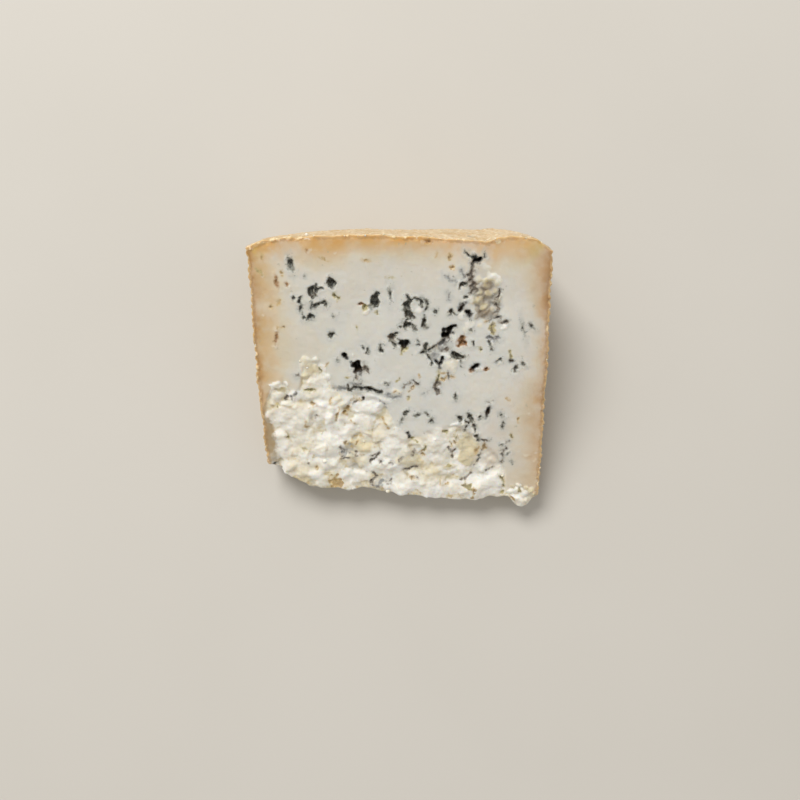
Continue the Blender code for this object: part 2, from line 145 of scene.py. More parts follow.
# Lumps and nodules read off the photograph, in mm: x, r, half length, half width, turn in degrees, height
# and tone, from 0 for white over 1 for cream and 2 for olive yellow to 3 for grey brown and 4 for brown
LUMPS = [
    (-33.3, 81.1, 2.9, 4.7, 10, 0.9, 0.75), (-30.1, 76.8, 2.6, 2.4, 0, 0.8, 0.6),
    (-34.3, 84.6, 1.6, 1.5, 0, 1.1, 0.8), (-31.4, 80.6, 1.7, 1.9, 20, 1.3, 0.75),
    (-35, 78.4, 1.5, 1.6, 0, 1.1, 0.9), (-30.6, 84.6, 1.3, 1.4, 0, 1.0, 0.5),
    (-28, 81, 1.5, 1.7, 0, 1.0, 0.2), (-26.8, 77.6, 1.8, 1.4, 0, 0.9, 0.2),
    (-32.6, 75.6, 1.6, 1.3, 0, 1.0, 0.5), (26.6, 128.5, 1.1, 0.6, 14, 0.6, 0.7),
    (29.3, 128.6, 1.5, 0.8, -8, 0.8, 0.3), (31.9, 128.2, 0.9, 0.6, 20, 0.6, 0.9),
    (34.2, 127.9, 1.3, 0.6, -6, 0.5, 0.6), (-31.9, 128.7, 1.2, 0.5, 0, 0.6, 0.6),
    (-46.2, 75.4, 2.2, 1, 10, 1.03, 0.1), (-42.1, 75.2, 0.8, 1.2, 0, 0.69, 0.2),
    (-45.5, 70, 1.9, 1.8, 0, 1.03, 0.3), (-47.1, 67.6, 1.3, 1.6, 0, 0.86, 0.2),
    (-39.1, 70, 2.4, 2, 30, 1.2, 0), (-42.3, 67.2, 2.2, 1.6, 0, 1.03, 0.1),
    (-49.2, 61.5, 1.9, 2, 0, 1.38, 0), (-44.1, 62.8, 4.1, 3.6, 0, 1.29, 0.3),
    (-35.8, 64, 4.8, 3.2, 0, 1.12, 0.4), (-37.5, 59.5, 4.5, 2.5, 0, 0.86, 0.4),
    (-29.4, 66.8, 1.9, 2.8, 10, 1.12, 0.1), (-26.4, 61.5, 1.5, 2.2, 0, 1.46, 0.1),
    (-29.5, 63.6, 1.9, 2, 0, 0.86, 0.3), (-24.9, 67.6, 1.9, 1.6, 0, 0.86, 0.3),
    (-27.4, 71.2, 4.4, 2, 0, 1.03, 0.5), (-31.5, 70.4, 2.2, 2, 0, 0.86, 0.3),
    (-23, 69.2, 2.2, 2, 0, 0.77, 0.5), (-25.7, 64.8, 1.9, 1.6, 0, 0.69, 0.3),
    (-21.2, 66.4, 1.5, 1.6, 0, 0.69, 0.6), (-45.6, 53.7, 2.3, 2.5, 0, 1.29, 0),
    (-44.4, 49.1, 3.8, 3.3, 0, 1.03, 0.2), (-38.8, 54.6, 3.4, 4.1, 0, 1.12, 0.3),
    (-33.6, 53.3, 2.6, 4.1, 0, 0.86, 0.4), (-27.3, 49.6, 5.3, 5.4, 0, 1.72, 0.1),
    (-41, 47, 3.4, 2.1, 0, 0.86, 0.5), (-47.2, 45.8, 2.7, 2.1, 0, 0.77, 0.4),
    (-36.5, 45.3, 1.9, 2.1, 0, 0.69, 0.5), (-42.1, 41.5, 3.8, 2.1, 0, 0.86, 0.3),
    (-43.7, 38.5, 3.1, 2.1, -20, 0.95, 0.2), (-37.6, 38.1, 2.7, 2.6, 0, 0.77, 0.4),
    (-32.6, 38.1, 3.1, 2.6, 0, 1.29, 0), (-29.7, 35.1, 2.7, 2.6, 0, 0.95, 0.3),
    (-34, 41.9, 2.7, 1.5, 0, 0.77, 0.4), (-29.8, 41.9, 3.1, 2.1, 0, 0.86, 0.3),
    (-24.5, 41.5, 2.3, 1.7, 0, 0.69, 0.4), (-20.7, 37.7, 2.3, 2.6, 0, 1.12, 0.1),
    (-11.8, 70.4, 3.3, 1.6, 0, 1.12, 0.1), (-6.8, 69.4, 3.6, 1.5, -8, 1.0, 0),
    (-12.7, 65.6, 5.2, 3.2, 0, 1.2, 0.2), (-8.2, 66, 2.2, 2.4, 0, 0.77, 0.4),
    (-13.9, 59.5, 4.9, 2.9, 0, 1.12, 0.1), (-19.6, 55.8, 3.4, 2.9, 0, 0.95, 0.1),
    (-21.7, 61.5, 1.9, 2.4, 0, 0.86, 0.3), (-5.6, 59.1, 3, 3.3, 0, 0.77, 0.6),
    (-6.4, 53.7, 3, 2.5, 0, 0.77, 0.6), (-11.7, 53.3, 3, 3.3, 0, 1.03, 0.7),
    (-15.9, 51.6, 2.3, 1.7, 0, 0.86, 0.8), (-18.1, 52.1, 1.3, 1, 0, 1.12, 0.5),
    (-1.9, 56.2, 2.3, 2.1, 0, 0.77, 0.3), (0.8, 53.7, 2.6, 3.3, 0, 0.86, 0.4),
    (-1.1, 72.4, 1.8, 1.2, 0, 0.69, 0.5), (-3, 49.1, 3.8, 4.2, 50, 1.46, 0.1),
    (1.5, 47.5, 2.7, 3.4, 0, 1.03, 0.3), (-13.6, 49.1, 2.7, 2.1, 0, 0.95, 0.9),
    (-20.2, 45.3, 2.3, 1.7, 0, 0.69, 0.6), (-14.1, 42.8, 3.1, 2.1, 0, 0.86, 0.9),
    (-8, 41.5, 5, 2.1, 10, 1.38, 0), (-3.8, 39.8, 4.6, 2.6, 0, 1.03, 0.2),
    (-16.1, 37.2, 3.8, 3, 0, 1.03, 0.3), (0.8, 33.8, 5, 3.9, 0, 1.55, 0.2),
    (-5.4, 32.5, 1.9, 1.3, 0, 0.86, 0.1), (8.5, 33.8, 3.1, 3.5, 0, 1.12, 0.2),
    (5, 43.6, 3.8, 3, 0, 0.6, 1.3), (7.2, 50, 2.3, 2.1, 0, 0.86, 0.4), (5, 38.1, 1.9, 1.7, 0, 0.69, 0.1),
    (0, 43.2, 1.9, 1.7, 0, 0.77, 0.9), (12.5, 48.7, 4.6, 4.2, 0, 1.12, 0.2),
    (13.6, 55.4, 3, 2.5, 0, 0.77, 0.1), (25.6, 50.3, 4.6, 2.8, 0, 0.77, 1.2),
    (26.8, 45, 4.5, 3.6, -20, 0.86, 1.3), (15.6, 44.5, 4.6, 2.5, 0, 0.69, 0.5),
    (19.1, 41.1, 3.1, 1.7, 0, 0.6, 1.0), (14.2, 38.5, 5.4, 1.7, 0, 0.77, 0.4),
    (23.8, 38.9, 3.8, 1.7, 20, 0.6, 0.6), (31.8, 40.7, 3.4, 2.6, 30, 0.77, 0.3),
    (34.2, 47, 3.4, 3.8, 0, 0.35, 0.7), (29, 32.9, 6.6, 4.3, 12, 1.98, 0),
    (35.4, 34.6, 4.6, 4.3, 0, 1.98, 0), (13.9, 31.6, 5.8, 3, 0, 1.29, 0.1),
    (20.5, 32, 3.1, 3, 0, 1.12, 0.2), (22.1, 58.9, 2.4, 1.4, 0, 1.46, 0),
    (27.9, 55.4, 1.9, 2.1, 0, 1.12, 0), (42.7, 29.9, 1.5, 1.3, 0, 1.3, 0.1),
    (45.3, 30.9, 1.6, 1.3, 20, 1.5, 0), (47.9, 29.6, 1.7, 1.5, 0, 1.5, 0.2),
    (44.3, 27.4, 1.6, 1.3, 0, 1.3, 0), (46.7, 26.4, 1.3, 1.2, 0, 1.2, 0.3),
    (49.4, 27.2, 1.4, 1.3, 0, 1.2, 0.5), (45.4, 33.3, 1.1, 0.9, 0, 1.1, 0.4),
    (50.2, 31.7, 1.2, 1.1, 0, 1.1, 1.1), (48.2, 32.4, 1.0, 0.8, 0, 0.9, 1.4),
    (41.3, 28.1, 1.1, 1.0, 0, 1.0, 0.8), (51.6, 29.5, 0.9, 1.2, 0, 0.9, 1.3),
    (43.1, 32.3, 0.9, 0.8, 0, 0.8, 1.5), (48.3, 46.6, 2.2, 1.7, 0, 0.2, 0.1),
    (51.1, 44.1, 1.5, 2.2, 0, 0.2, 0.1), (27.9, 111.6, 1.4, 1.1, 0, 1.04, 1.9),
    (30.3, 111.9, 1.4, 1.1, 0, 1.04, 1.8), (32.5, 110.1, 1.4, 1.5, 0, 0.96, 1.6),
    (30.1, 108.7, 1.8, 1.5, 0, 1.2, 1.5), (28, 108.7, 1.2, 1.5, 0, 0.96, 1.9),
    (28.7, 106.5, 1.4, 1.1, 0, 0.88, 2), (31.9, 107.2, 1.4, 1.1, 0, 0.96, 2),
    (34.2, 111.2, 1.1, 1.1, 0, 0.8, 1.6), (34.7, 109, 1.1, 1.5, 0, 0.8, 2.2),
    (27.4, 113.4, 1.1, 1.1, 0, 0.86, 2), (28.1, 103.9, 1.4, 1.1, 0, 0.96, 2.4),
    (30.6, 104.6, 1.4, 1.1, 0, 0.96, 1.7), (30.3, 102.4, 1.4, 1.1, 0, 0.96, 2.8),
    (32.4, 103.1, 1.4, 1.5, 0, 0.96, 2.6), (34.5, 104.2, 1.1, 1.5, 0, 0.96, 2.8),
    (34.2, 102, 1.4, 1.1, 0, 0.8, 2.9), (28.2, 101.3, 1.4, 1.1, 0, 0.8, 2.7),
    (27.6, 115.2, 1.3, 1.1, 0, 0.9, 0.5), (30.2, 114.4, 1.4, 1.2, 0, 1.1, 0.4),
    (32.7, 115.6, 1.9, 1.4, 10, 1.1, 0.2), (34.4, 113.9, 1.1, 1.2, 0, 0.8, 0.6),
    (31.2, 116.6, 1.1, 0.9, 0, 0.7, 0.6), (25.5, 107.6, 1.2, 2.4, 0, 1.2, 0.3),
    (30.1, 118.8, 2.6, 1.6, 0, 0.35, 0.7), (24.7, 99, 2.1, 1.5, 0, 0.86, 0.1),
    (21.8, 101.3, 1.4, 1.1, 0, 0.86, 0), (23.7, 96.8, 1.8, 1.5, 0, 0.5, 0.5),
    (29.2, 97.7, 2.0, 1.3, 0, 0.35, 0.6), (19.5, 93.4, 1.4, 1.9, 0, 0.69, 0.1),
    (36.9, 97.5, 1.4, 1.1, 0, 1.03, 0), (36.1, 107.6, 0.9, 1.5, 0, 0.8, 0.4),
    (19, 82.3, 2.9, 3.5, 0, 1.0, 0.6), (17.1, 86.5, 1.5, 1.5, 0, 1.2, 0),
    (29.2, 81.1, 1.1, 1.2, 0, 0.69, 0.1), (6.1, 102.4, 1.4, 1.5, 0, 0.52, 0.1),
    (2.3, 104.1, 0.6, 0.4, 0, 0.86, 0), (-12.1, 102.8, 1.4, 0.8, 20, 0.77, 0),
    (13.8, 89.6, 0.9, 1, 0, 0.77, 0.5), (-17.4, 86.9, 0.7, 0.8, 0, 0.43, 0),
    (25.5, 58.3, 1.5, 1.2, 0, 0.69, 0.1),
]

# Where the crumbly part is finely granular: x, r and radius in mm
GRAINY = [
    (-23, 66, 6), (7, 47, 5), (20, 47, 4), (-37, 45, 5), (46, 28, 6), (-21, 46, 4), (-40, 69, 4),
    (-32, 55, 5), (1, 60, 5), (23, 57, 6), (-27, 79, 4), (31, 104, 8), (27, 93, 5),
]

# Where the crumbly part is a flat piece that keeps the smooth paste's colour: x, r and radius in mm
FLAT_PIECES = [(34.5, 46.5, 6.5), (29.5, 56, 4), (9.5, 57.5, 4)]

# Pockets in the upper cut face by what lines them, read off the photograph:
# x, r, half length, half width in mm, turn in degrees, depth in mm
POCKETS = {
    "mould": [
        (-38.3, 120.2, 2.5, 1.06, 100, 1.6), (-3.5, 109.5, 1.6, 0.54, 90, 1.2),
        (44.3, 96.7, 1.7, 0.37, 105, 1.2), (47.2, 97.7, 1.1, 0.55, 130, 1.2),
        (42.4, 81.3, 1.3, 0.76, 70, 1.8), (44.8, 83.3, 0.9, 0.56, 130, 1.4),
        (20.7, 70.3, 1.2, 0.58, 100, 1.2), (2.1, 63.6, 1.3, 0.9, 35, 0.7),
        (0.6, 60.6, 0.9, 0.39, 60, 0.9), (6.3, 62.9, 1.1, 0.7, 20, 0.6),
        (11.9, 60.6, 1.1, 0.78, 130, 1.4), (10, 63.3, 0.8, 0.4, 150, 0.6), (30, 62, 0.8, 0.59, 30, 1.4),
        (37.9, 62.9, 0.8, 0.39, 140, 1.2),
    ],
    "olive": [
        (-49.5, 117.5, 1.1, 0.35, 140, 0.6), (-3.3, 115.2, 0.9, 0.36, 0, 0.7),
        (-15.4, 97.2, 0.6, 0.37, 90, 0.5),
    ],
    "ochre": [
        (-41.2, 116.9, 0.9, 0.53, 90, 0.8), (-45.8, 104.7, 0.9, 0.72, 80, 1.2),
        (-43, 106.4, 0.9, 0.54, 70, 0.6), (-44.1, 96.6, 0.7, 0.37, 80, 0.8),
        (-41.8, 97.1, 0.7, 0.37, 30, 0.8), (-48, 122.7, 1.1, 0.35, 100, 0.5),
        (-26.5, 122, 1.4, 0.35, 160, 0.7), (-11.7, 121.6, 1.4, 0.53, 0, 0.5),
        (18, 118.8, 0.9, 0.71, 0, 0.9), (17.1, 122.7, 1.1, 0.88, 50, 0.8),
        (-35.4, 59.7, 0.8, 0.39, 90, 0.8), (-35.1, 57.9, 0.8, 0.59, 0, 0.8),
        (29.2, 48.1, 1.8, 0.8, 70, 0.8),
    ],
    # Holes: mould lined, painted near black as the shade in their depth
    "hole": [
        (32.8, 64.2, 2.3, 0.78, 70, 2.4),
    ],
    "rust": [
        (-43.4, 113.9, 1.6, 0.53, 100, 1.4), (-39.9, 112.9, 0.7, 0.54, 110, 1),
        (-44.7, 93.1, 1.7, 0.55, 80, 1.2), (-32.4, 125.1, 0.5, 0.35, 90, 0.6),
        (10, 128.5, 1.2, 0.52, 10, 0.6),
    ],
    # Grey streaks: partly grey paste, partly painted shade below hollows and along creases
    "grey_streak_and_shade": [
        (-20.5, 73.5, 3.8, 1.0, 4, 0.7), (-16, 75, 2.2, 0.7, -10, 0.5),
    ],
}

# Winding cracks and joined pockets, by what lines them: half width and depth in mm, then x and r of each
# point along it in mm
VEINS = {
    "mould": [
        (0.31, 0.8, -5.9, 75.6, -4.8, 75, -4, 75.4), (0.26, 0.5, -23.9, 101.3, -23.6, 101.1),
        (0.21, 0.4, -34, 115.9, -33.7, 115.9),
        (0.5, 1.4, -35.4, 108.3, -35.8, 106.8, -35.3, 105.4, -35.6, 103.5),
        (0.47, 1.4, -34.9, 102.4, -34.3, 100.5, -33.4, 99.8, -32.5, 100.5, -31.4, 101.5),
        (0.77, 1.6, -32.5, 100.7, -31.6, 101.3), (0.76, 1.2, -30.2, 105, -28.8, 105.5, -27.3, 106.5),
        (0.47, 0.8, -27.3, 106.5, -26.3, 105.7, -26.7, 105),
        (0.4, 0.6, -31.6, 106.5, -31.3, 105.4, -31.7, 104.2), (0.54, 0.6, -37.6, 107.9, -37.4, 107.9),
        (0.61, 1.4, 2.5, 108.3, 3.2, 107.2, 3, 105.4, 3.6, 104.2), (0.9, 1.8, 2.3, 105.4, 3.2, 104.2),
        (0.87, 2, 2.5, 103.1, 3.2, 102), (0.65, 1.8, 3.9, 102, 4.3, 100.9, 3.9, 100.2),
        (1.02, 2.4, 2, 99, 2.2, 97.5), (0.77, 2, 2.9, 98.3, 4.3, 97.9, 5, 97.5),
        (0.47, 1.4, 2.1, 99.8, 3.6, 100.2), (0.36, 0.8, 3.9, 106.8, 5.3, 107.7, 6.4, 107.6, 7.1, 106.8),
        (0.58, 1.4, 7.1, 107.2, 7.5, 106.1, 8.2, 105),
        (0.36, 1, 7.8, 107.9, 8.9, 107.2, 9.6, 105.7, 9.6, 104.2, 8.9, 103.7),
        (0.84, 1.6, 8.9, 99.8, 9, 98.7, 8.6, 97.5), (0.4, 0.8, 8.9, 101.3, 8.9, 100.2),
        (0.62, 0.8, 12.4, 103.1, 12.6, 103.1), (0.48, 0.8, 0, 97.2, 0.2, 97.2),
        (0.33, 0.8, 5.4, 96.8, 5.7, 95.7), (0.55, 2, -2.5, 94.5, -1.1, 94.9),
        (0.48, 1.6, -3.2, 91.9, -1.8, 90.4), (0.41, 1.4, -1.1, 92.6, 0.4, 91.9),
        (0.56, 1, 6.5, 92.3, 6.5, 92.1), (0.48, 1, 6.5, 90.7, 6.6, 90.7),
        (0.85, 2, 9.4, 90.4, 9.8, 88.4), (0.78, 1.8, 7.6, 87.3, 9.4, 87.5, 10.9, 88.4),
        (0.6, 1.6, 9.8, 86.9, 10.9, 85, 11.7, 83.4), (1.01, 2, 18.9, 87.1, 20.7, 86.3, 22.5, 85.6),
        (0.45, 1, 21.9, 84.2, 22.3, 82.3), (0.37, 1, 26.2, 91.5, 26.6, 90),
        (0.56, 1.2, 36.4, 84.8, 36.5, 84.6), (0.34, 0.8, 35.5, 83.8, 36.4, 84.6),
        (0.38, 1.4, 22.6, 124.8, 23.6, 123.7, 24.7, 122.7), (0.98, 2.2, 25.6, 122.7, 26.1, 122),
        (0.28, 1, 28.2, 122.3, 29.6, 123, 29.5, 124.1), (0.75, 1.8, 21.8, 113.2, 22.9, 113),
        (0.43, 1.4, 21.8, 113, 21.3, 111.8), (0.58, 1.2, 23, 108.3, 23.2, 108.3),
        (0.69, 1.4, 18.2, 103.1, 18.5, 102.4), (0.36, 1, 17.8, 102, 20.3, 102),
        (0.33, 0.8, 31.8, 91.9, 32.6, 90, 33.5, 88.8), (0.44, 0.6, 25.4, 96, 25.6, 96),
        (0.63, 1.8, -25.5, 94.5, -24.1, 94.7, -24.9, 93.4), (0.41, 0.8, -22.8, 84.2, -22.6, 84.2),
        (0.67, 1.6, -13.4, 89.2, -13, 88.6), (0.52, 1.6, -12, 88.8, -12, 87.7, -12.3, 86.9),
        (0.45, 1.4, -6.7, 90.4, -7.2, 88.8, -6.7, 87.7), (1.37, 2.4, -8.9, 107.6, -9.1, 105.5),
        (0.54, 1.4, -8.5, 109, -7.8, 109.4), (0.62, 1.8, -11.5, 73.4, -8.9, 72.7, -6.6, 71.9),
        (0.75, 1.2, -17.5, 73.9, -14.4, 73.6), (0.54, 1, -18.8, 74.4, -18.5, 72.8),
        (1.28, 2.2, -24.3, 114.1, -24.1, 113), (1.5, 2, -30.9, 111.2, -31.1, 109.6),
        (0.43, 0.8, -28.9, 111.2, -27.5, 111.4), (0.94, 1.6, 22.2, 61.5, 22.6, 60.7),
        (0.63, 1.8, 24.7, 60.3, 25.5, 59.5), (0.58, 1.6, 25.7, 63.2, 26.6, 60.7, 27.8, 57.9, 28.2, 56.6),
        (0.39, 0.8, 24.8, 58.3, 24.6, 56.2), (0.71, 1.8, 28.8, 54.1, 29.4, 52.9),
        (0.48, 1, 29.7, 45.8, 30.3, 44.5), (0.36, 0.9, 39, 50.8, 38, 50.4),
        (0.48, 1, 41.2, 47.2, 40.9, 46.4), (0.35, 0.9, 38.6, 60.3, 38.7, 57.4),
        (0.4, 0.9, 42.3, 43.6, 42.6, 42.8),
    ],
    "fissure": [
        (0.34, 0.7, 1.1, 73.6, 2.2, 74.8, 3.7, 75.6), (0.38, 0.7, 5, 76.4, 5.9, 75.6, 6.6, 75.4),
        (0.38, 0.5, 13.3, 72.4, 14.8, 73.2), (0.3, 0.5, 17.2, 79.9, 18, 77.6),
        (0.31, 0.4, 32.7, 68, 34.1, 68.8), (1.03, 2.4, -3.2, 94.2, -2.9, 92.6),
        (0.89, 1.8, 16.9, 93, 15.5, 91.5, 14.8, 90.4),
        (0.48, 1.4, 14.8, 90.7, 13, 90, 11.2, 88.8, 9.8, 88.1), (1.12, 1, 14.9, 88.3, 17, 88.4),
        (0.85, 1.3, 13.8, 75.2, 13.3, 73.6, 14, 72.2),
        (0.66, 0.8, 25.1, 120.2, 25.4, 118.1, 24.9, 116.6), (0.53, 0.7, 23.8, 116.3, 25.6, 115.9),
        (0.95, 0.9, 24.9, 114.5, 25.7, 112.7, 26.1, 111.2), (0.72, 1, 25.4, 110.8, 25.1, 109.8),
        (0.36, 1, 35.4, 111.2, 35, 109, 34, 107.2), (0.47, 0.9, 33.7, 106.1, 35.2, 103.9),
        (0.47, 1.6, 32.5, 100.2, 33.9, 100.7, 35.7, 100.4), (0.59, 1.4, 36, 99, 38.3, 98.9),
        (0.9, 1.2, -13.1, 82.3, -12.4, 80.3), (0.42, 1.2, -16.1, 79.1, -15.8, 77.2),
        (0.34, 1, -14, 76, -14.4, 74.4), (0.42, 0.8, -37.9, 78.6, -37, 78.7),
        (0.44, 1, -22.5, 44.5, -21, 44.3, -19.4, 44.5), (0.36, 0.9, -22.4, 47.5, -22.1, 45.3),
        (0.6, 0.9, -16.7, 47.5, -16.2, 45.8),
        (0.48, 1, -10.7, 46.2, -8.4, 46.6, -9.5, 44.9, -11.1, 43.6), (0.32, 0.7, -0.4, 43.6, 0.8, 44.5),
        (0.45, 1, 1.1, 39.4, 3.1, 39.6, 5.4, 40.7, 6.5, 41.3), (0.41, 0.8, -46.3, 40.7, -45.8, 38.9),
        (0.32, 0.9, 29.8, 52.5, 31.7, 51.9, 33.6, 52.3), (0.28, 0.8, 31.1, 48.3, 30.4, 46.2),
        (0.28, 1, 30.1, 44.1, 29, 42.4, 27.9, 41.1), (0.33, 1, 26.9, 38.1, 25.4, 36.8, 23.5, 35.5),
        (0.28, 0.9, 35.6, 41.1, 34.1, 40, 33, 39.4), (0.34, 1, 17.8, 49.6, 19.4, 47.9, 20.9, 48.7),
        (0.36, 0.7, 19.4, 47.5, 20.2, 45.3), (0.52, 1, 5.7, 48.3, 4.9, 46.2),
        (0.36, 0.9, 40.2, 49.1, 39.1, 48.1, 38.8, 46.6, 39.4, 44.9, 38.6, 42.8),
        (0.32, 0.6, 40.1, 51.6, 41.2, 51.9), (0.4, 0.8, -22.5, 50, -22.4, 48.7),
        (0.4, 1, -7.6, 43.6, -7.4, 43.2), (0.44, 1, -3.8, 43.4, -2.7, 42.6),
        (0.33, 0.8, 6.4, 36.4, 6.7, 36.4), (0.36, 0.8, -10, 38.5, -9.2, 37.2, -10.8, 35.1, -10.4, 33.3),
        (0.38, 0.7, -11.6, 34.6, -10.4, 33.8), (0.33, 0.8, -5, 34.2, -3.5, 34.6, -3.1, 35.9),
        (0.36, 0.8, -34.9, 43, -34.8, 42.4), (0.42, 1.2, -42.8, 69.2, -41.8, 70.2),
        (0.31, 0.8, -31.4, 62, -31, 62.4), (0.23, 0.6, -17.5, 67.2, -15.9, 68.4),
    ],
    # Holes: mould lined, painted near black as the shade in their depth
    "hole": [
        (0.96, 2, 0.7, 91.1, 2.2, 91.1, 1.4, 90), (1.48, 4.2, 16.6, 94.5, 17.3, 95.5),
        (0.81, 3.4, 17.9, 96.6, 19.7, 97.4), (0.44, 2.6, 15.6, 85.4, 14.6, 83.4, 14.2, 81.5),
        (0.36, 2.2, 13.1, 84.6, 14.2, 83), (0.87, 3, 27.9, 82.5, 27, 81.5),
        (0.64, 1.4, 40.1, 84.2, 40.8, 84.2), (0.67, 3.4, 25.8, 121.1, 27.2, 121.3, 28, 122),
        (0.83, 3, 21.7, 105, 22.7, 105.5), (0.54, 2.4, 21.7, 104.6, 21, 103.5),
        (0.84, 3.8, 24.2, 102.5, 25, 101.7), (0.47, 3, 23.9, 103.1, 25.2, 100.7),
        (0.71, 2.2, -20.2, 86.5, -19.5, 85.2), (1.66, 3.4, -15.9, 82.1, -15.7, 80.7),
        (0.57, 2.2, -14, 73.3, -12.5, 73.6, -10.7, 73.2),
        (0.39, 1.6, -40.6, 69.2, -40, 70.6, -38.4, 71.8), (0.42, 1.4, -14.3, 69.6, -13.7, 69.6),
        (0.53, 1.6, -50.2, 40.2, -48.6, 41.5, -47.1, 43), (0.51, 1.4, 2.8, 55.2, 3.6, 54.6),
    ],
    "olive": [
        (0.39, 0.9, 3.3, 70, 3.5, 69.2), (0.34, 0.5, -1.1, 76.4, 0, 77.2),
        (0.3, 0.5, -19.4, 78, -18.7, 77.6), (0.38, 1.3, 14.1, 80.7, 13.9, 77.6, 13.6, 75.2),
        (0.3, 0.8, 38.8, 36.8, 40.1, 34.2, 40.4, 32.5), (0.36, 0.9, 39.9, 30.7, 39.5, 29.4),
        (0.82, 1.2, 1.1, 88.4, 2.2, 88.4), (0.45, 0.8, 0.7, 87.7, 0.7, 86.9),
        (0.41, 1, 29.3, 89.6, 29.5, 88.1), (0.52, 0.8, 40, 88.4, 40.4, 85.7),
        (0.95, 0.3, 33.3, 97.5, 33.4, 95.7), (0.65, 1.6, -23.2, 109.2, -22.1, 107.9),
        (0.32, 0.8, -22.1, 107.6, -22.3, 106.5), (0.94, 1.2, -12.4, 104.6, -12.6, 104.2),
        (0.33, 0.6, -8.4, 103.1, -8.2, 102), (0.39, 1, -45.6, 66, -44.6, 67.4),
        (0.54, 1.2, -35.4, 72.8, -32.1, 73), (0.42, 0.7, -29.6, 81.5, -29.3, 79.1),
        (0.46, 0.7, -25.8, 73.6, -25.1, 73.4), (0.35, 0.4, -11.3, 56.2, -10.1, 57.4),
        (0.4, 0.5, -43.4, 53.7, -42.6, 53.3), (0.32, 0.5, -36.4, 48.5, -35.7, 48.3),
        (0.47, 0.7, 16.2, 55.8, 17.3, 55.6), (0.43, 0.8, 20.3, 55, 21.5, 53.3),
        (0.36, 0.8, 9.5, 50.4, 9.1, 48.7), (0.55, 0.7, 4.5, 53.7, 6, 52.5),
        (0.44, 0.3, 18, 41.5, 19.1, 41.3), (0.9, 0.2, 25.1, 32.9, 27, 32.9),
        (0.41, 0.7, 46, 31.6, 46.4, 30.7), (0.59, 0.9, 41.8, 55, 42.3, 53.3),
    ],
    "rust": [
        (0.6, 1, 26.7, 80.9, 26.2, 80.5), (0.68, 1.2, 31.8, 81.1, 31.6, 80.7),
        (1.41, 2.2, 22.4, 92.8, 22.4, 90.9), (0.36, 1, -14.2, 105.9, -13.1, 105.5),
    ],
    "ochre": [
        (0.38, 0.5, 4.8, 74.4, 4.1, 72.8, 3.3, 72), (0.31, 0.4, -1.5, 72.4, -2.6, 71.2),
        (0.34, 0.5, 6.6, 79.1, 7.3, 78), (0.3, 0.4, -27.4, 82.3, -26.2, 83.4),
        (0.35, 0.4, 39.6, 69.6, 40.8, 68.8), (0.28, 0.3, 12.5, 122.7, 13.2, 124.4),
        (0.34, 0.8, 15, 79.1, 16.1, 79.5, 16.9, 78, 16.2, 76.8, 15, 77.6),
        (0.3, 0.6, 18.7, 78.4, 20.2, 77.8), (0.37, 0.8, 30.4, 99, 31.8, 99.6),
        (0.31, 0.6, -25.2, 69.6, -26, 67.6), (0.39, 1.2, -22.7, 65.2, -23.1, 62.8, -23.6, 60.3),
        (0.55, 0.8, -18.4, 59.9, -17.2, 59.1), (0.42, 1, -15.6, 69, -14.8, 69.2),
        (0.31, 0.6, -6.4, 62, -6, 59.5, -4.5, 57), (0.4, 0.9, -14.3, 53.7, -15.9, 52.1, -17, 50.8),
        (0.56, 0.8, -21, 51.2, -20.4, 50.4), (0.37, 0.7, 4.6, 36.8, 5.4, 35.9),
        (1.23, 0.6, -25.8, 35.5, -23.5, 35.3), (1.07, 0.6, -25.1, 33.8, -23.1, 34.2),
        (0.56, 1.2, 32, 50.6, 31.5, 48.7), (0.33, 0.5, 16.6, 33.5, 18.1, 33.5),
        (0.58, 0.8, 42.7, 27.6, 43.9, 27.2), (0.51, 1, 44.3, 61.1, 44.5, 60.3),
        (0.43, 1.2, -32.4, 67, -32.1, 67.2), (0.51, 1.4, -21.1, 63.3, -20.9, 63.4),
        (0.31, 0.6, -20.5, 62.6, -20, 62.4), (0.5, 1.2, -19.2, 65.4, -19, 65.2),
        (0.36, 0.8, -32.1, 41.5, -31.6, 40.2), (0.48, 0.9, 19.1, 51.2, 19.7, 50),
        (0.32, 0.6, 20.4, 52.1, 21.2, 51.2), (0.52, 1, 8.7, 46.6, 8, 46.2),
        (0.36, 0.8, 8.3, 48.3, 7.6, 47.5), (0.61, 0.8, 15.4, 34.9, 15.4, 33.8),
        (0.74, 0.5, 28.6, 31.6, 28.5, 29.4),
    ],
    # Grey streaks: partly grey paste, partly painted shade below hollows and along creases
    "grey_streak_and_shade": [
        (0.5, 0.4, -5.5, 71.2, -3, 70, 0, 69.8), (0.31, 0.4, 8.9, 71.4, 10.3, 72.4),
        (0.42, 0.3, 21.7, 118.1, 22.5, 115.5), (0.5, 0.3, 16.1, 115.9, 17.6, 114.5, 19.3, 114.1),
        (0.32, 0.4, 17, 109.8, 17.4, 107.6), (0.81, 0.9, 31.7, 93, 34.3, 92.3, 35.7, 93.4),
        (0.27, 0.7, -7.4, 68.6, -6.3, 68.4, -5.4, 66.8, -5.2, 65.2), (0.88, 0.5, -21.3, 47, -19, 46.2),
        (1.0, 0.4, -7.3, 35.1, -8.5, 32.9), (1.15, 0.3, 12.6, 87, 13, 85.6),
        (1.25, 0.4, 16.2, 91.4, 15.2, 89.2),
    ],
}

# Colour fades out this far from a pocket, in mm
REACH = 6.0

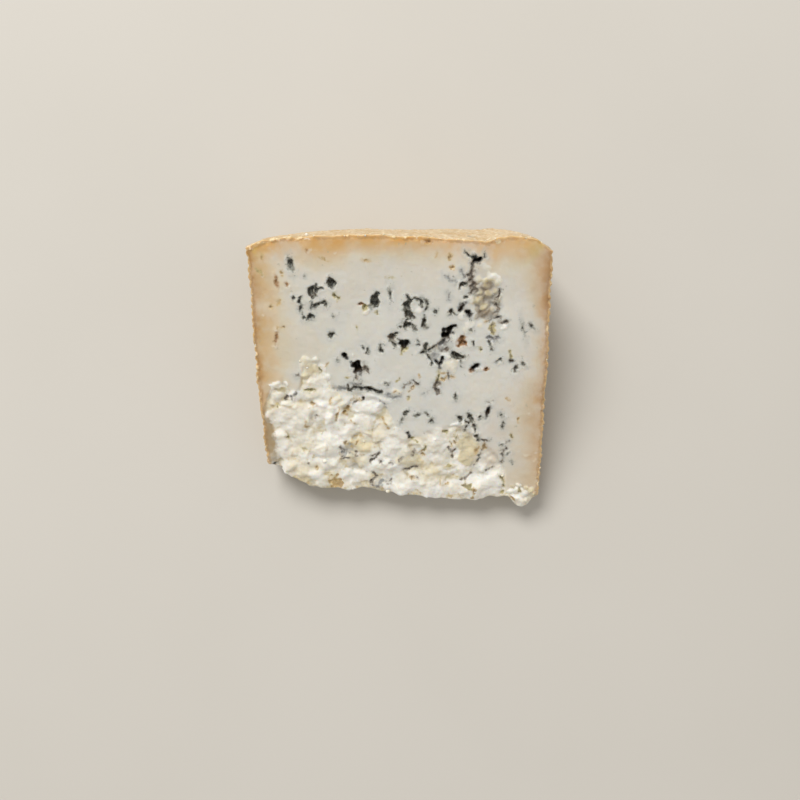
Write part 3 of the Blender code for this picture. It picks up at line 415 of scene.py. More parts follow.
# How the edge of a pocket is pushed about, as (size, shift in mm), how a crack's width swings and how it
# breaks up in the crumbly part, as (size, share), how much less deep it is there, and how far inside its
# edge a pocket starts to go down, in mm
POCKET_WARP = ((2.1 * MM, 0.38), (0.85 * MM, 0.24))
VEIN_SWING = (1.4 * MM, 0.65)
VEIN_BREAKS = (1.1 * MM, 1.1)
VEIN_SHALLOW = 0.45
POCKET_EDGE = 0.15

# The pale paste stands up around the pockets and is painted paler there, partly paler paste and partly a
# painted highlight: how wide in mm, how high, and the size of its gaps
LIP = (0.5, 0.15 * MM, 2.6 * MM)

# The roughness of each side: size of the bumps and how far they stand out
FACE_WAVE = (22 * MM, 0.30 * MM)
PASTE_RIPPLE = (6.0 * MM, 0.10 * MM)
PASTE_GRAIN = (1.4 * MM, 0.05 * MM)
BREAK_BUMPS = (7.0 * MM, 1.5 * MM)
BREAK_GRAIN = (3.2 * MM, 0.6 * MM)
BREAK_CRUMBS = (1.4 * MM, 0.35 * MM)
RIND_BUMPS = (6.0 * MM, 0.35 * MM)
RIND_GRAIN = (1.7 * MM, 0.22 * MM)
RIND_SPECKS = (0.9 * MM, 0.12 * MM)
SIDE_FALL = 3.0 * MM
FINE_FALL = 1.0 * MM

# The mat that the wheel dried on left ribs in its flat sides
MAT_PITCH = 2.7 * MM
MAT_TURN = math.radians(8)
RIB_WOBBLE = (9 * MM, 1.1 * MM)
RIB_FADE = 7 * MM

# Layers of crumbs on the lumps: cell, radius range, height range
MIDDLE_CRUMBS = (2.4 * MM, (0.8 * MM, 1.6 * MM), (0.04 * MM, 0.24 * MM))
SMALL_CRUMBS = (1.3 * MM, (0.45 * MM, 0.9 * MM), (0.03 * MM, 0.19 * MM))

# How the outlines of lumps are pushed about, as (size, shift in mm), and how the crumbly part swells
LUMP_WARP = ((3.6 * MM, 0.9), (1.4 * MM, 0.4))
CRUMB_SWELL = ((9.0 * MM, 0.55 * MM), (3.2 * MM, 0.20 * MM), (1.1 * MM, 0.07 * MM))

# The cut edge of the rind is nibbled away in places and has flakes standing up in patches: size and height,
# and the size of the patches
EDGE_NIBBLE = (1.9 * MM, 0.55 * MM)
EDGE_FLAKES = (1.0 * MM, 0.4 * MM)
FLAKE_PATCHES = 5.0 * MM

# Paste colours by distance from the rind in mm, from golden over tan to a cool ivory. They differ for the
# left flat side, the more pinkish right one and the golden rim.
RIPENING_LEFT = (
    (0.0, "#a98044"), (1.4, "#bf9864"), (2.8, "#ccae80"), (4.2, "#d0b68e"), (6.5, "#d3be9d"),
    (9.0, "#d6c8af"), (13.0, "#d5ccbb"), (22.0, "#d5d0c3"), (36.0, "#d4d1c7"),
)
RIPENING_RIGHT = (
    (0.0, "#a0784a"), (1.4, "#b28d61"), (2.8, "#be9d76"), (4.2, "#c6ab89"), (6.5, "#cbb99d"),
    (9.0, "#d0c4ae"), (13.0, "#d3cabb"), (20.0, "#d4cfc3"), (36.0, "#d4d1c7"),
)
RIPENING_RIM = (
    (0.0, "#d7aa62"), (1.2, "#d4a763"), (2.5, "#d4ac72"), (3.8, "#d3b17e"), (5.5, "#d2b68f"),
    (7.5, "#d3bf9f"), (10.0, "#d5c8b0"), (15.0, "#d5cdbf"), (36.0, "#d4d1c7"),
)
RIPENING_DEPTH = 36.0

# How fast the ripe band beside the left flat side fades
LEFT_PACE = 0.85

# The ripe band beside the right flat side is narrowest halfway out, and broad but pale near the core: how
# fast it fades and how far along its ramp it starts, by distance from the axis
RIGHT_R = np.array([36, 48, 58, 70, 84, 96, 104, 118, 130]) * MM
RIGHT_PACE = np.array([0.45, 0.45, 0.6, 1.0, 1.8, 1.8, 1.3, 1.1, 1.0])
RIGHT_START = np.array([4.8, 4.8, 2.8, 0.4, 0, 0, 0, 0, 0]) * MM

# The ripe band under the rim is narrowest at its middle: how fast it fades, by x
RIM_PACE_X = np.array([-54, -22, -12, 8, 20, 34, 54]) * MM
RIM_PACE = np.array([0.9, 1.0, 1.4, 1.4, 1.25, 0.95, 0.9])

# Colours of the lumps by tone: white, cream, olive yellow, grey brown and brown
TONES = (
    (0.0, "#edeae1"), (0.5, "#e4dece"), (1.0, "#dccfac"), (1.5, "#c8bea2"), (2.0, "#c0b083"),
    (3.0, "#a1937c"), (4.0, "#7d6a4c"),
)

# How the tone drifts across the crumbly part
TONE_DRIFT = (4.5 * MM, 0.45)

# The smooth paste's mottling: colour, size in mm, the noise it starts and ends at, and its strength
PASTE_MOTTLES = (
    ("#e3ddd0", 17, 0.42, 0.72, 0.30), ("#ccc9bd", 6, 0.45, 0.75, 0.30), ("#dcd7ca", 8, 0.5, 0.66, 0.2),
    ("#a9a590", 2.4, 0.68, 0.75, 0.55), ("#e4e1d8", 3.1, 0.66, 0.76, 0.3),
)

# The cool halo around mould, from the widest to the specks next to it: colour, start and end in mm from
# the edge, strength, and how ragged it is in mm and at what size
HALOS = (
    ("#d2d4d2", -5.0, -1.5, 0.25, 2.5, 5.0), ("#b4b6b0", -2.0, 0.5, 0.55, 0.8, 2.0),
    ("#77776c", 0.9, 2.1, 0.7, 3.0, 0.9),
)

# What marks the paste, from the faintest to the blackest: stains, with painted shade in the grey streaks and
# the black holes; by how much its edge is ragged in mm, how strong it is, and its two mottled colours
STAINS = (
    ("olive", 0.3, 0.80, "#8d8355", "#bbad7a"),
    ("ochre", 0.3, 0.75, "#a98a58", "#c8ae7c"),
    ("rust", 0.25, 0.90, "#744e28", "#a37744"),
    ("fissure", 0.35, 0.85, "#665c4e", "#968c7e"),
    ("grey_streak_and_shade", 0.5, 0.70, "#8f8e89", "#b0afab"),
    ("mould", 0.35, 0.93, "#3a372f", "#8a897c"),
    # Holes: partly dark mould, partly painted shade of the deep hollow
    ("hole", 0.2, 1.0, "#120d07", "#2c261d"),
)

# The grain of the paste and the grit of the rind
PASTE_GRAIN_MM = 1.1
RIND_GRIT_MM = 1.2

# The turned grid is finest next to the cut face, and the resting face keeps every sixth point each way
TURN_EASE = 1.4
BASE_STEP = 6

# Loose crumbs: how deep their dents are and how far they are sunk, as shares of their size, how much their
# sizes spread, and a flake's size beside a crumb's
CRUMB_DENTS = 0.32
CRUMB_SUNK = 0.1
CRUMB_SPREAD = 0.38
FLAKE_SIZE = 0.55

# The floor's half width, where the key light is from the wedge, how far away and how wide it is, and the
# tint of the light from all around
FLOOR_HALF = 3.0
KEY_TOWARDS = Vector((-0.295, 0.584, 0.755))
KEY_DISTANCE = 2.0
KEY_WIDTH = 1.0
AIR = (1.0, 0.985, 0.96, 1)

# The camera looks straight down at this point of the surface under the wedge
CAMERA_X = -0.15 * MM
CAMERA_Y = -12.7 * MM
CAMERA_HEIGHT = 360 * MM
VIEW_WIDTH = 320 * MM
SENSOR = 36.0


def linear(code):
    """An sRGB hex colour such as "#c5bdad" as linear RGBA."""
    channels = [int(code[place:place + 2], 16) / 255 for place in (1, 3, 5)]
    bent = [part / 12.92 if part <= 0.04045 else ((part + 0.055) / 1.055) ** 2.4 for part in channels]
    return (*bent, 1.0)


def colour(name, description, code):
    """A colour setting whose default is an sRGB hex code."""
    return FloatVectorProperty(
        name=name, description=description, default=linear(code), size=4, min=0, max=1, subtype="COLOR"
    )


class CheeseWedgeSettings(bpy.types.PropertyGroup):
    """Sizes and colours of the wedge."""

    columns: IntProperty(name="Columns", description="Cells across the cut face", default=252, min=60)
    rows: IntProperty(name="Rows", description="Cells from the broken core to the rim", default=240, min=60)
    turns: IntProperty(name="Turns", description="Cells from the resting face to the cut", default=34, min=8)
    mat_depth: FloatProperty(
        name="Mat imprint", description="Height of the mat's ribs in the flat sides",
        default=0.85 * MM, unit="LENGTH",
    )
    crumb: colour("Crumb", "White of the loose crumbs", "#ece8db")
    cream: colour("Cream", "Creamy side of the loose crumbs", "#ded2b2")
    rind: colour("Rind", "Straw-gold rind", "#c9b290")


class CheeseCrumbSettings(bpy.types.PropertyGroup):
    """The loose crumbs that cling to the wedge."""

    count: IntProperty(name="Crumbs", description="Crumbs on the crumbly part", default=40, min=0)
    edge_count: IntProperty(name="Flakes", description="Flakes along the rind's edge", default=170, min=0)
    size: FloatProperty(
        name="Crumb size", description="Half the length of a middling crumb", default=0.36 * MM, unit="LENGTH"
    )


class CheeseStageSettings(bpy.types.PropertyGroup):
    """The floor and the studio light."""

    floor: colour("Floor", "Pale studio floor", "#c4bfb6")
    key_power: FloatProperty(
        name="Key light", description="Power of the key light", default=35.5, unit="POWER"
    )
    fill: FloatProperty(name="Fill", description="Strength of the light from all around", default=0.57, min=0)


def value_noise(points, cell, seed):
    """Smooth noise between -1 and 1: a seeded lattice of values, blended between its corners."""
    lattice = np.random.default_rng(seed).uniform(-1, 1, (32, 32, 32))
    grid = points / cell
    base = np.floor(grid).astype(int)
    part = grid - base
    part = part * part * (3 - 2 * part)
    total = np.zeros(len(points))
    for corner in itertools.product((0, 1), repeat=3):
        weight = np.where(corner, part, 1 - part).prod(axis=1)
        i, j, k = ((base + corner) % 32).T
        total += weight * lattice[i, j, k]
    return total


def bumps(points, layer, seed):
    """Smooth noise from a layer given as (size, how far it goes up and down)."""
    size, height = layer
    return height * value_noise(points, size, seed)


def smooth_step(value):
    """0 below 0, 1 above 1 and smooth between."""
    value = np.clip(value, 0, 1)
    return value * value * (3 - 2 * value)


def left_side(r):
    """The wheel's left flat side, drawn in a little towards the core and flared at the rim."""
    start, length, most = LEFT_DRAWN_IN
    drawn_in = most * np.clip((start - r) / length, 0, 1) ** 2
    start, length, most = LEFT_FLARE
    return LEFT_X + drawn_in - most * smooth_step((r - start) / length)


def right_side(r):
    """The wheel's right flat side, slightly bowed."""
    middle, length, most = RIGHT_BOW
    return RIGHT_X - most * ((r - middle) / length) ** 2


def rim(x):
    """The wheel's rim along the cut edge, nearly straight and falling away at the two shoulders."""
    return WHEEL_RADIUS - np.interp(x, RIM_X, RIM_CUT)


def rim_swell(x, turn):
    """How much further out the rim stands below its cut edge, growing down to its middle."""
    share = smooth_step((WEDGE_ANGLE - turn) / (WEDGE_ANGLE - RIM_TURN))
    return share * (np.interp(x, RIM_X, RIM_CUT) - np.interp(x, RIM_X, RIM_MIDDLE))


def broken_tip(x):
    """How far from the axis the crumbled core ends."""
    return np.interp(x, BREAK_X, BREAK_R)


def warped(points, layers, seed):
    """Plane points in mm, each pushed about by layers of noise given as (size, shift in mm)."""
    moved = points[:, :2] / MM
    for number, layer in enumerate(layers):
        for axis in (0, 1):
            moved[:, axis] += bumps(points, layer, seed + 2 * number + axis)
    return moved.T


def heaps(x, r, rows):
    """Rounded heaps melted together: the height over each point in mm, and its tone.

    A heap is an ellipse whose height is its top times (1 - distance squared) to the power of its roundness.
    Heaps melt together as the blend times the logarithm of 1 plus the sum of (e to the height over the
    blend, less 1), and their tones as the average weighted by height.
    """
    melted, total, toned = np.zeros((3, len(x)))
    for row_x, row_r, half_length, half_width, turn, top, tone in rows:
        cosine, sine = math.cos(math.radians(turn)), math.sin(math.radians(turn))
        close = np.flatnonzero(np.hypot(x - row_x, r - row_r) < LUMP_SKIRT * max(half_length, half_width))
        across, out = (x[close] - row_x) / LUMP_SKIRT, (r[close] - row_r) / LUMP_SKIRT
        away = ((across * cosine + out * sine) / half_length) ** 2
        away += ((out * cosine - across * sine) / half_width) ** 2
        height = LUMP_RISE * top * np.clip(1 - away, 0, 1) ** LUMP_ROUND
        melted[close] += np.expm1(height / LUMP_BLEND)
        total[close] += height
        toned[close] += height * tone
    return LUMP_BLEND * np.log1p(melted), toned / np.maximum(total, 1e-9)


def facets(x, r, layer, seed):
    """Broken facets: the height over each point in mm, from -1 to 1 how far its facet stands up, and how
    near the point is to a border, from 0 to 1.

    Each cell of an endless jittered grid has a tilted plane at its own height. A point blends the planes
    around it, each weighted by e to minus the squared distance times the sharpness.
    """
    cell, drop, tilt = layer
    table = np.random.default_rng(seed).uniform(-1, 1, (64, 64, 5))
    grid = np.column_stack((x, r)) / cell
    base = np.floor(grid).astype(int)
    height, raised, weights, best, second = np.zeros((5, len(x)))
    for step in itertools.product((-1, 0, 1), repeat=2):
        i, j = ((base + step) % 64).T
        draw = table[i, j]
        away = grid - (base + step) - 0.5 - 0.45 * draw[:, :2]
        weight = np.exp(-FACET_SHARPNESS * (away ** 2).sum(axis=1))
        height += weight * (drop * draw[:, 2] + tilt * cell * (away * draw[:, 3:]).sum(axis=1))
        raised += weight * draw[:, 2]
        weights += weight
        second = np.maximum(second, np.minimum(best, weight))
        best = np.maximum(best, weight)
    return height / weights, raised / weights, second / best


def crumb_layer(across, along, layer, seed):
    """The tallest of many small domes, one in each cell of an endless jittered grid: height and shade."""
    cell, radii, tops = layer
    table = np.random.default_rng(seed).uniform(0, 1, (64, 64, 5))
    grid = np.column_stack((across, along)) / cell
    base = np.floor(grid).astype(int)
    height, shade = np.zeros((2, len(grid)))
    for step in itertools.product((-1, 0, 1), repeat=2):
        i, j = ((base + step) % 64).T
        draw = table[i, j]
        centre = base + step + draw[:, :2]
        radius = (radii[0] + draw[:, 2] * (radii[1] - radii[0])) / cell
        top = tops[0] + draw[:, 3] * (tops[1] - tops[0])
        near = 1 - ((grid - centre) ** 2).sum(axis=1) / radius ** 2
        dome = top * np.sqrt(np.clip(near, 0, 1))
        shade = np.where(dome > height, draw[:, 4], shade)
        height = np.maximum(height, dome)
    return height, shade


def near_spots(x, r, spots, reach, fall):
    """How near each point is to a spot, from 0 to 1: the reach less the fall times the distance in radii."""
    near = np.zeros(len(x))
    for spot_x, spot_r, radius in spots:
        away = np.hypot(x / MM - spot_x, r / MM - spot_r) / radius
        near = np.maximum(near, smooth_step(reach - fall * away))
    return near


def pocket_fields(flat, crumbly):
    """How far inside a pocket or crack each point is, in mm and by kind, and how deep they are there.

    In the crumbly part the cracks are broken up by a finer noise and less deep.
    """
    x, r = warped(flat, POCKET_WARP, 31)
    depth = np.zeros(len(x))
    swing = 1 + bumps(flat, VEIN_SWING, 35) + crumbly * bumps(flat, VEIN_BREAKS, 36)
    inside = {kind: np.full(len(x), -REACH) for kind in VEINS}
    shapes = []
    for kind, rows in POCKETS.items():
        for row_x, row_r, half_length, half_width, turn, deep in rows:
            cosine, sine = math.cos(math.radians(turn)), math.sin(math.radians(turn))
            along = ((x - row_x) * cosine + (r - row_r) * sine) / half_length
            across = ((r - row_r) * cosine - (x - row_x) * sine) / half_width
            shapes.append((kind, half_width, deep, (1 - np.hypot(along, across)) * half_width))
    for kind, rows in VEINS.items():
        for half_width, deep, *path in rows:
            stops = np.reshape(path, (-1, 2))
            away = np.full(len(x), np.inf)
            for (x0, r0), (x1, r1) in zip(stops, stops[1:]):
                step_x, step_r = x1 - x0, r1 - r0
                share = ((x - x0) * step_x + (r - r0) * step_r) / (step_x ** 2 + step_r ** 2)
                share = np.clip(share, 0, 1)
                away = np.minimum(away, np.hypot(x - x0 - share * step_x, r - r0 - share * step_r))
            shapes.append((kind, half_width, deep, half_width * swing - away))
    for kind, half_width, deep, within in shapes:
        inside[kind] = np.maximum(inside[kind], within)
        depth = np.maximum(depth, deep * MM * smooth_step((within - POCKET_EDGE) / (0.9 * half_width)))
    return inside, depth * (1 - VEIN_SHALLOW * crumbly)


def face_relief(x, r):
    """The upper cut face's coarse relief, its fine relief and what colours it, for points on it."""
    flat = np.column_stack((x, r, np.zeros(len(x))))
    edge = np.interp(x, CRUMB_X, CRUMB_R) - r + bumps(flat, CRUMB_WOBBLE, 20)
    ledge = x - left_side(r) - np.interp(r, LEDGE_R, LEDGE_WIDTH)
    crumbly = smooth_step(edge / CRUMB_BLEND) * smooth_step(ledge / CRUMB_BLEND)
    bent = warped(flat, LUMP_WARP, 21)
    lumps, tone = heaps(*bent, LUMPS)
    lumps *= NODULE_SHARE + (1 - NODULE_SHARE) * crumbly
    broken, raised, border = facets(*bent, FACETS, 24)
    chips, chip_raised, chip_border = facets(*bent, SMALL_FACETS, 25)
    swell = sum(bumps(flat, layer, 23 + int(layer[0] / MM)) for layer in CRUMB_SWELL)
    hollow_x, hollow_r, half_across, half_out, hollow_depth = HOLLOW
    hollow = np.exp(-((x - hollow_x) / half_across) ** 2 - ((r - hollow_r) / half_out) ** 2)
    lined = smooth_step((hollow - 0.3) / 0.3)
    on_lump = smooth_step(lumps / 0.18)
    coarse = bumps(flat, FACE_WAVE, 3) + lumps * MM - hollow_depth * hollow
    coarse += crumbly * (swell + broken * MM - CRUMB_SINK)
    grainy = near_spots(x, r, GRAINY, 1.4, 1.0)
    pasty = near_spots(x, r, FLAT_PIECES, 1.6, 1.2)
    loose = np.maximum(crumbly, smooth_step(lumps / 0.4) * grainy)
    shifted = (x, r) + NODULE_BEND * (bent * MM - (x, r))
    nodules, nodule_tone = crumb_layer(*shifted, NODULES, 43)
    nodules *= lined
    middle, _ = crumb_layer(x, r, MIDDLE_CRUMBS, 41)
    small, small_tone = crumb_layer(x, r, SMALL_CRUMBS, 42)
    inside, depth = pocket_fields(flat, crumbly)
    fine = loose * (middle * (0.45 + 0.65 * grainy) + small * (0.6 + 0.5 * grainy) + 0.8 * chips * MM)
    fine += bumps(flat, PASTE_RIPPLE, 44) + bumps(flat, PASTE_GRAIN, 45)
    lip_width, lip_height, lip_gaps = LIP
    beside = np.maximum.reduce([inside[kind] for kind in ("mould", "hole", "rust")]) / lip_width
    whole = smooth_step(0.3 + 1.5 * value_noise(flat, lip_gaps, 47))
    lip_with_highlight = np.exp(-(beside + 1) ** 2) * whole * (1 - crumbly)
    fine += nodules + lip_height * lip_with_highlight - depth
    # Lower spots and facet borders of the crumbly part, which get a real ochre tint and a painted grey shade
    low_shade = smooth_step(0.35 - 0.5 * raised - 0.25 * chip_raised - 1.2 * lumps)
    crease = np.maximum(0.8 * border ** 2, 0.6 * chip_border ** 2) * (1 - 0.7 * on_lump)
    colours = {f"{kind}_mm": field for kind, field in inside.items()}
    dark = [inside[kind] for kind in ("mould", "hole", "fissure", "grey_streak_and_shade")]
    colours["halo_mm"] = np.maximum.reduce(dark) - 2.0 * crumbly
    colours["crumbly"] = np.maximum.reduce((crumbly, on_lump, lined)) * (1 - 0.75 * pasty)
    # The smooth ledge beside the left rind, painted darker as shade
    colours["ledge"] = smooth_step(edge / CRUMB_BLEND) * (1 - smooth_step(ledge / CRUMB_BLEND))
    # Where the raised rims are painted paler, partly as a painted highlight
    colours["lip_with_highlight"] = lip_with_highlight
    # Where the crumbly part gets its ochre crease tint and painted shade in its lower spots and creases
    colours["crease_tint_and_shade"] = np.maximum(crumbly, grainy * on_lump) * np.maximum(low_shade, crease)
    # Between the lumps, lower facets get a creamier tone and raised ones a whiter one: partly the crumbs' own
    # tone, partly painted shade
    between = (0.48 - 0.30 * raised - 0.15 * chip_raised) * (1 - lined) + HOLLOW_TONE * lined
    colours["tone"] = tone * on_lump + between * (1 - on_lump) + 0.25 * (small_tone - 0.3) * grainy
    colours["tone"] += bumps(flat, TONE_DRIFT, 46)
    crust = 1.5 + 1.1 * nodule_tone + 1.0 * smooth_step((106 * MM - r) / (5 * MM))
    # The creases between the nodules are painted browner: partly their yellow-brown tint, partly painted
    # shade
    crust += 1.8 * (1 - smooth_step((nodules / MM - 0.2) / 0.45))
    colours["tone"] += 0.9 * lined * (crust - colours["tone"])
    return coarse, fine, colours


def mat_ribs(y, z, wobble):
    """The ribs that a drying mat leaves: rounded ridges with narrow valleys, a pitch apart."""
    place = y * math.cos(MAT_TURN) + z * math.sin(MAT_TURN) + wobble
    return np.abs(np.sin(math.pi * place / MAT_PITCH)) - 0.6


def strip(grid):
    """The quads between neighbouring points of a numbered grid, facing its first axis cross its second."""
    corners = (grid[:-1, :-1], grid[1:, :-1], grid[1:, 1:], grid[:-1, 1:])
    return np.stack(corners, axis=-1).reshape(-1, 4)


def lattice(columns, rows, turns):
    """The skin of a block of cells: the (i, j, k) of its points and the faces between them.

    i runs from the left end to the right one, j from the break to the rim and k from the resting face to
    the cut face. The resting face is flat, so inside its edge it keeps only every few points.
    """
    i, j, k = np.indices((columns + 1, rows + 1, turns + 1))
    side = (i % columns == 0) | (j % rows == 0)
    coarse = (k == 0) & (i % BASE_STEP == 0) & (j % BASE_STEP == 0)
    kept = side | (k == turns) | coarse
    number = np.full(kept.shape, -1)
    number[kept] = np.arange(kept.sum())
    paste = np.concatenate((strip(number[:, :, -1]), strip(number[:, 0, :])))
    rind = np.concatenate((strip(number[:, -1, :].T), strip(number[0].T), strip(number[-1])))
    base = []
    floor = number[:, :, 0]
    for left, front in itertools.product(range(0, columns, BASE_STEP), range(0, rows, BASE_STEP)):
        right, back = left + BASE_STEP, front + BASE_STEP
        ring = np.concatenate((
            floor[left, front:back], floor[left:right, back],
            floor[right, back:front:-1], floor[right:left:-1, front],
        ))
        base.append(ring[ring >= 0].tolist())
    places = np.column_stack((i[kept], j[kept], k[kept]))
    return places, paste, rind, base


def block_points(places, size):
    """The even block: (i, j, k) become x between the flat sides, r from break to rim and a turn."""
    sideways, outwards, upwards = (places / size).T
    turn = WEDGE_ANGLE * (1 - (1 - upwards) ** TURN_EASE)
    across = left_side(MIDDLE_R) + sideways * (right_side(MIDDLE_R) - left_side(MIDDLE_R))
    r = broken_tip(across) + outwards * (rim(across) - broken_tip(across))
    x = left_side(r) + sideways * (right_side(r) - left_side(r))
    return np.column_stack((x, r * np.cos(turn), r * np.sin(turn)))


def near_side(inset, fall):
    """1 on a side and fading smoothly inwards."""
    return np.exp(-(np.clip(inset, 0, None) / fall) ** 2)


def dress(points, mat_depth):
    """Moves the points of the even block by each side's relief, and gives each its colour fields."""
    x, y, z = points.T
    r = np.hypot(y, z)
    below = WEDGE_ANGLE - np.arctan2(z, y)
    depth = r * np.sin(below)
    along = r * np.cos(below)
    from_left, from_right = x - left_side(r), right_side(r) - x
    from_rim, from_break = rim(x) - r, r - broken_tip(x)
    coarse, fine, colours = face_relief(x, along)
    nibble_size, nibble_depth = EDGE_NIBBLE
    nibble = nibble_depth * np.clip(value_noise(points, nibble_size, 57) + 0.1, 0, 1)
    rough = bumps(points, RIND_BUMPS, 5)
    grain = bumps(points, RIND_GRAIN, 51) + bumps(points, RIND_SPECKS, 52)
    broken = bumps(points, BREAK_BUMPS, 7) + bumps(points, BREAK_GRAIN, 8) + bumps(points, BREAK_CRUMBS, 53)
    front_crumbs, _ = crumb_layer(x, z, MIDDLE_CRUMBS, 54)
    ribs = mat_ribs(y, z, bumps(points, RIB_WOBBLE, 55))
    ribs *= mat_depth * (0.5 + 0.5 * value_noise(points, RIB_FADE, 56))
    normal = np.array([0, -math.sin(WEDGE_ANGLE), math.cos(WEDGE_ANGLE)])
    radial = np.column_stack((np.zeros(len(x)), y / r, z / r))
    from_rind = np.minimum(np.minimum(from_left, from_right), from_rim)
    edge = near_side(from_rind, FINE_FALL) * near_side(depth, FINE_FALL)
    flake_size, flake_height = EDGE_FLAKES
    patchy = 0.55 + value_noise(points, FLAKE_PATCHES, 59)
    flakes = edge * np.clip(2.2 * value_noise(points, flake_size, 58) * patchy - 0.2, 0, 1)
    fine += flake_height * flakes - near_side(from_rind, FINE_FALL) * nibble
    lift = near_side(depth, SIDE_FALL) * coarse + near_side(depth, FINE_FALL) * fine
    out = near_side(from_rim, SIDE_FALL) * (rough + rim_swell(x, np.arctan2(z, y)))
    out += near_side(from_rim, FINE_FALL) * (grain - near_side(depth, FINE_FALL) * nibble)
    out -= near_side(from_break, SIDE_FALL) * broken + near_side(from_break, FINE_FALL) * front_crumbs
    moved = points + normal * lift[:, None] + radial * out[:, None]
    for inset, sign in ((from_left, -1), (from_right, 1)):
        moved[:, 0] += sign * near_side(inset, SIDE_FALL) * rough
        moved[:, 0] += sign * near_side(inset, FINE_FALL) * (grain + ribs)
    moved[:, 2] = np.where(z <= 0, 0, np.maximum(moved[:, 2], 0))
    hidden = smooth_step((depth / MM - 1.5) / 1.5)
    for name in colours:
        if name.endswith("_mm"):
            colours[name] = np.where(hidden > 0.5, -REACH, colours[name])
    colours["unseen"] = hidden
    colours["flake"] = flakes
    colours["rind_mm"] = from_rind / MM
    colours["left_mm"] = from_left * LEFT_PACE / MM
    started = np.interp(along, RIGHT_R, RIGHT_START)
    colours["right_mm"] = (from_right * np.interp(along, RIGHT_R, RIGHT_PACE) + started) / MM
    colours["rim_mm"] = from_rim * np.interp(x, RIM_PACE_X, RIM_PACE) / MM
    colours["crumbly"] = np.maximum(colours["crumbly"], near_side(from_break, 2 * MM))
    return moved, colours


def fill_mesh(name, points, faces, colours, materials, slots):
    """A smooth-shaded object from points, faces and one number for each point and colour field."""
    mesh = bpy.data.meshes.new(name)
    mesh.from_pydata(points.tolist(), [], faces)
    for material in materials:
        mesh.materials.append(material)
    mesh.polygons.foreach_set("material_index", slots)
    for field, values in colours.items():
        attribute = mesh.attributes.new(field, "FLOAT", "POINT")
        attribute.data.foreach_set("value", np.asarray(values, dtype=np.float32))
    mesh.update()
    mesh.shade_smooth()
    made = bpy.data.objects.new(name, mesh)
    bpy.context.scene.collection.objects.link(made)
    return made


def add_node(tree, kind, inputs, **settings):
    """Adds a node with its settings. Each input is a value for the socket or a socket to link it to."""
    node = tree.nodes.new(kind)
    for name, value in settings.items():
        setattr(node, name, value)
    for socket, value in inputs.items():
        if isinstance(value, bpy.types.NodeSocket):
            tree.links.new(value, node.inputs[socket])
        else:
            node.inputs[socket].default_value = value
    return node


def new_material(name):
    """An empty node material and its tree."""
    material = bpy.data.materials.new(name)
    material.use_nodes = True
    material.node_tree.nodes.clear()
    return material, material.node_tree


def set_stops(ramp, stops):
    """Gives a colour ramp its stops, each a place from 0 to 1 and an sRGB hex code."""
    while len(ramp.color_ramp.elements) < len(stops):
        ramp.color_ramp.elements.new(1.0)
    for element, (place, code) in zip(ramp.color_ramp.elements, stops):
        element.position = place
        element.color = linear(code)


def patches(tree, under, over, size_mm, start, end, strength, within=1.0):
    """Lays a colour over another in patches of that size, where a noise lies past start."""
    place = add_node(tree, "ShaderNodeTexCoord", {}).outputs["Object"]
    noise = add_node(tree, "ShaderNodeTexNoise", {"Vector": place, "Scale": 1000 / size_mm, "Detail": 3.0})
    share = add_node(tree, "ShaderNodeMapRange", {
        "Value": noise.outputs["Fac"], "From Min": start, "From Max": end, "To Max": strength,
    }, interpolation_type="SMOOTHSTEP")
    part = add_node(tree, "ShaderNodeMath", {0: share.outputs["Result"], 1: within}, operation="MULTIPLY")
    inputs = {0: part.outputs[0], 6: under, 7: over}
    return add_node(tree, "ShaderNodeMix", inputs, data_type="RGBA").outputs[2]


def ragged_field(tree, field, wobble, size_mm):
    """One of the mesh's colour fields, shifted up and down by as much as wobble at that size."""
    place = add_node(tree, "ShaderNodeTexCoord", {}).outputs["Object"]
    noise = add_node(tree, "ShaderNodeTexNoise", {
        "Vector": place, "Scale": 1000 / size_mm, "Detail": 3.0, "Roughness": 0.6,
    })
    shift = add_node(tree, "ShaderNodeMapRange", {
        "Value": noise.outputs["Fac"], "From Min": 0.3, "From Max": 0.7, "To Min": -wobble, "To Max": wobble,
    })
    value = add_node(tree, "ShaderNodeAttribute", {}, attribute_name=field).outputs["Fac"]
    inputs = {0: value, 1: shift.outputs["Result"]}
    return add_node(tree, "ShaderNodeMath", inputs, operation="ADD").outputs[0]


def stain(tree, under, over, field, start, end, strength, wobble, size_mm):
    """Lays a colour over another where a field runs from start to end, along a ragged edge."""
    value = ragged_field(tree, field, wobble, size_mm)
    share = add_node(tree, "ShaderNodeMapRange", {
        "Value": value, "From Min": start, "From Max": end, "To Max": strength,
    }, interpolation_type="SMOOTHSTEP")
    inputs = {0: share.outputs["Result"], 6: under, 7: over}
    return add_node(tree, "ShaderNodeMix", inputs, data_type="RGBA").outputs[2]


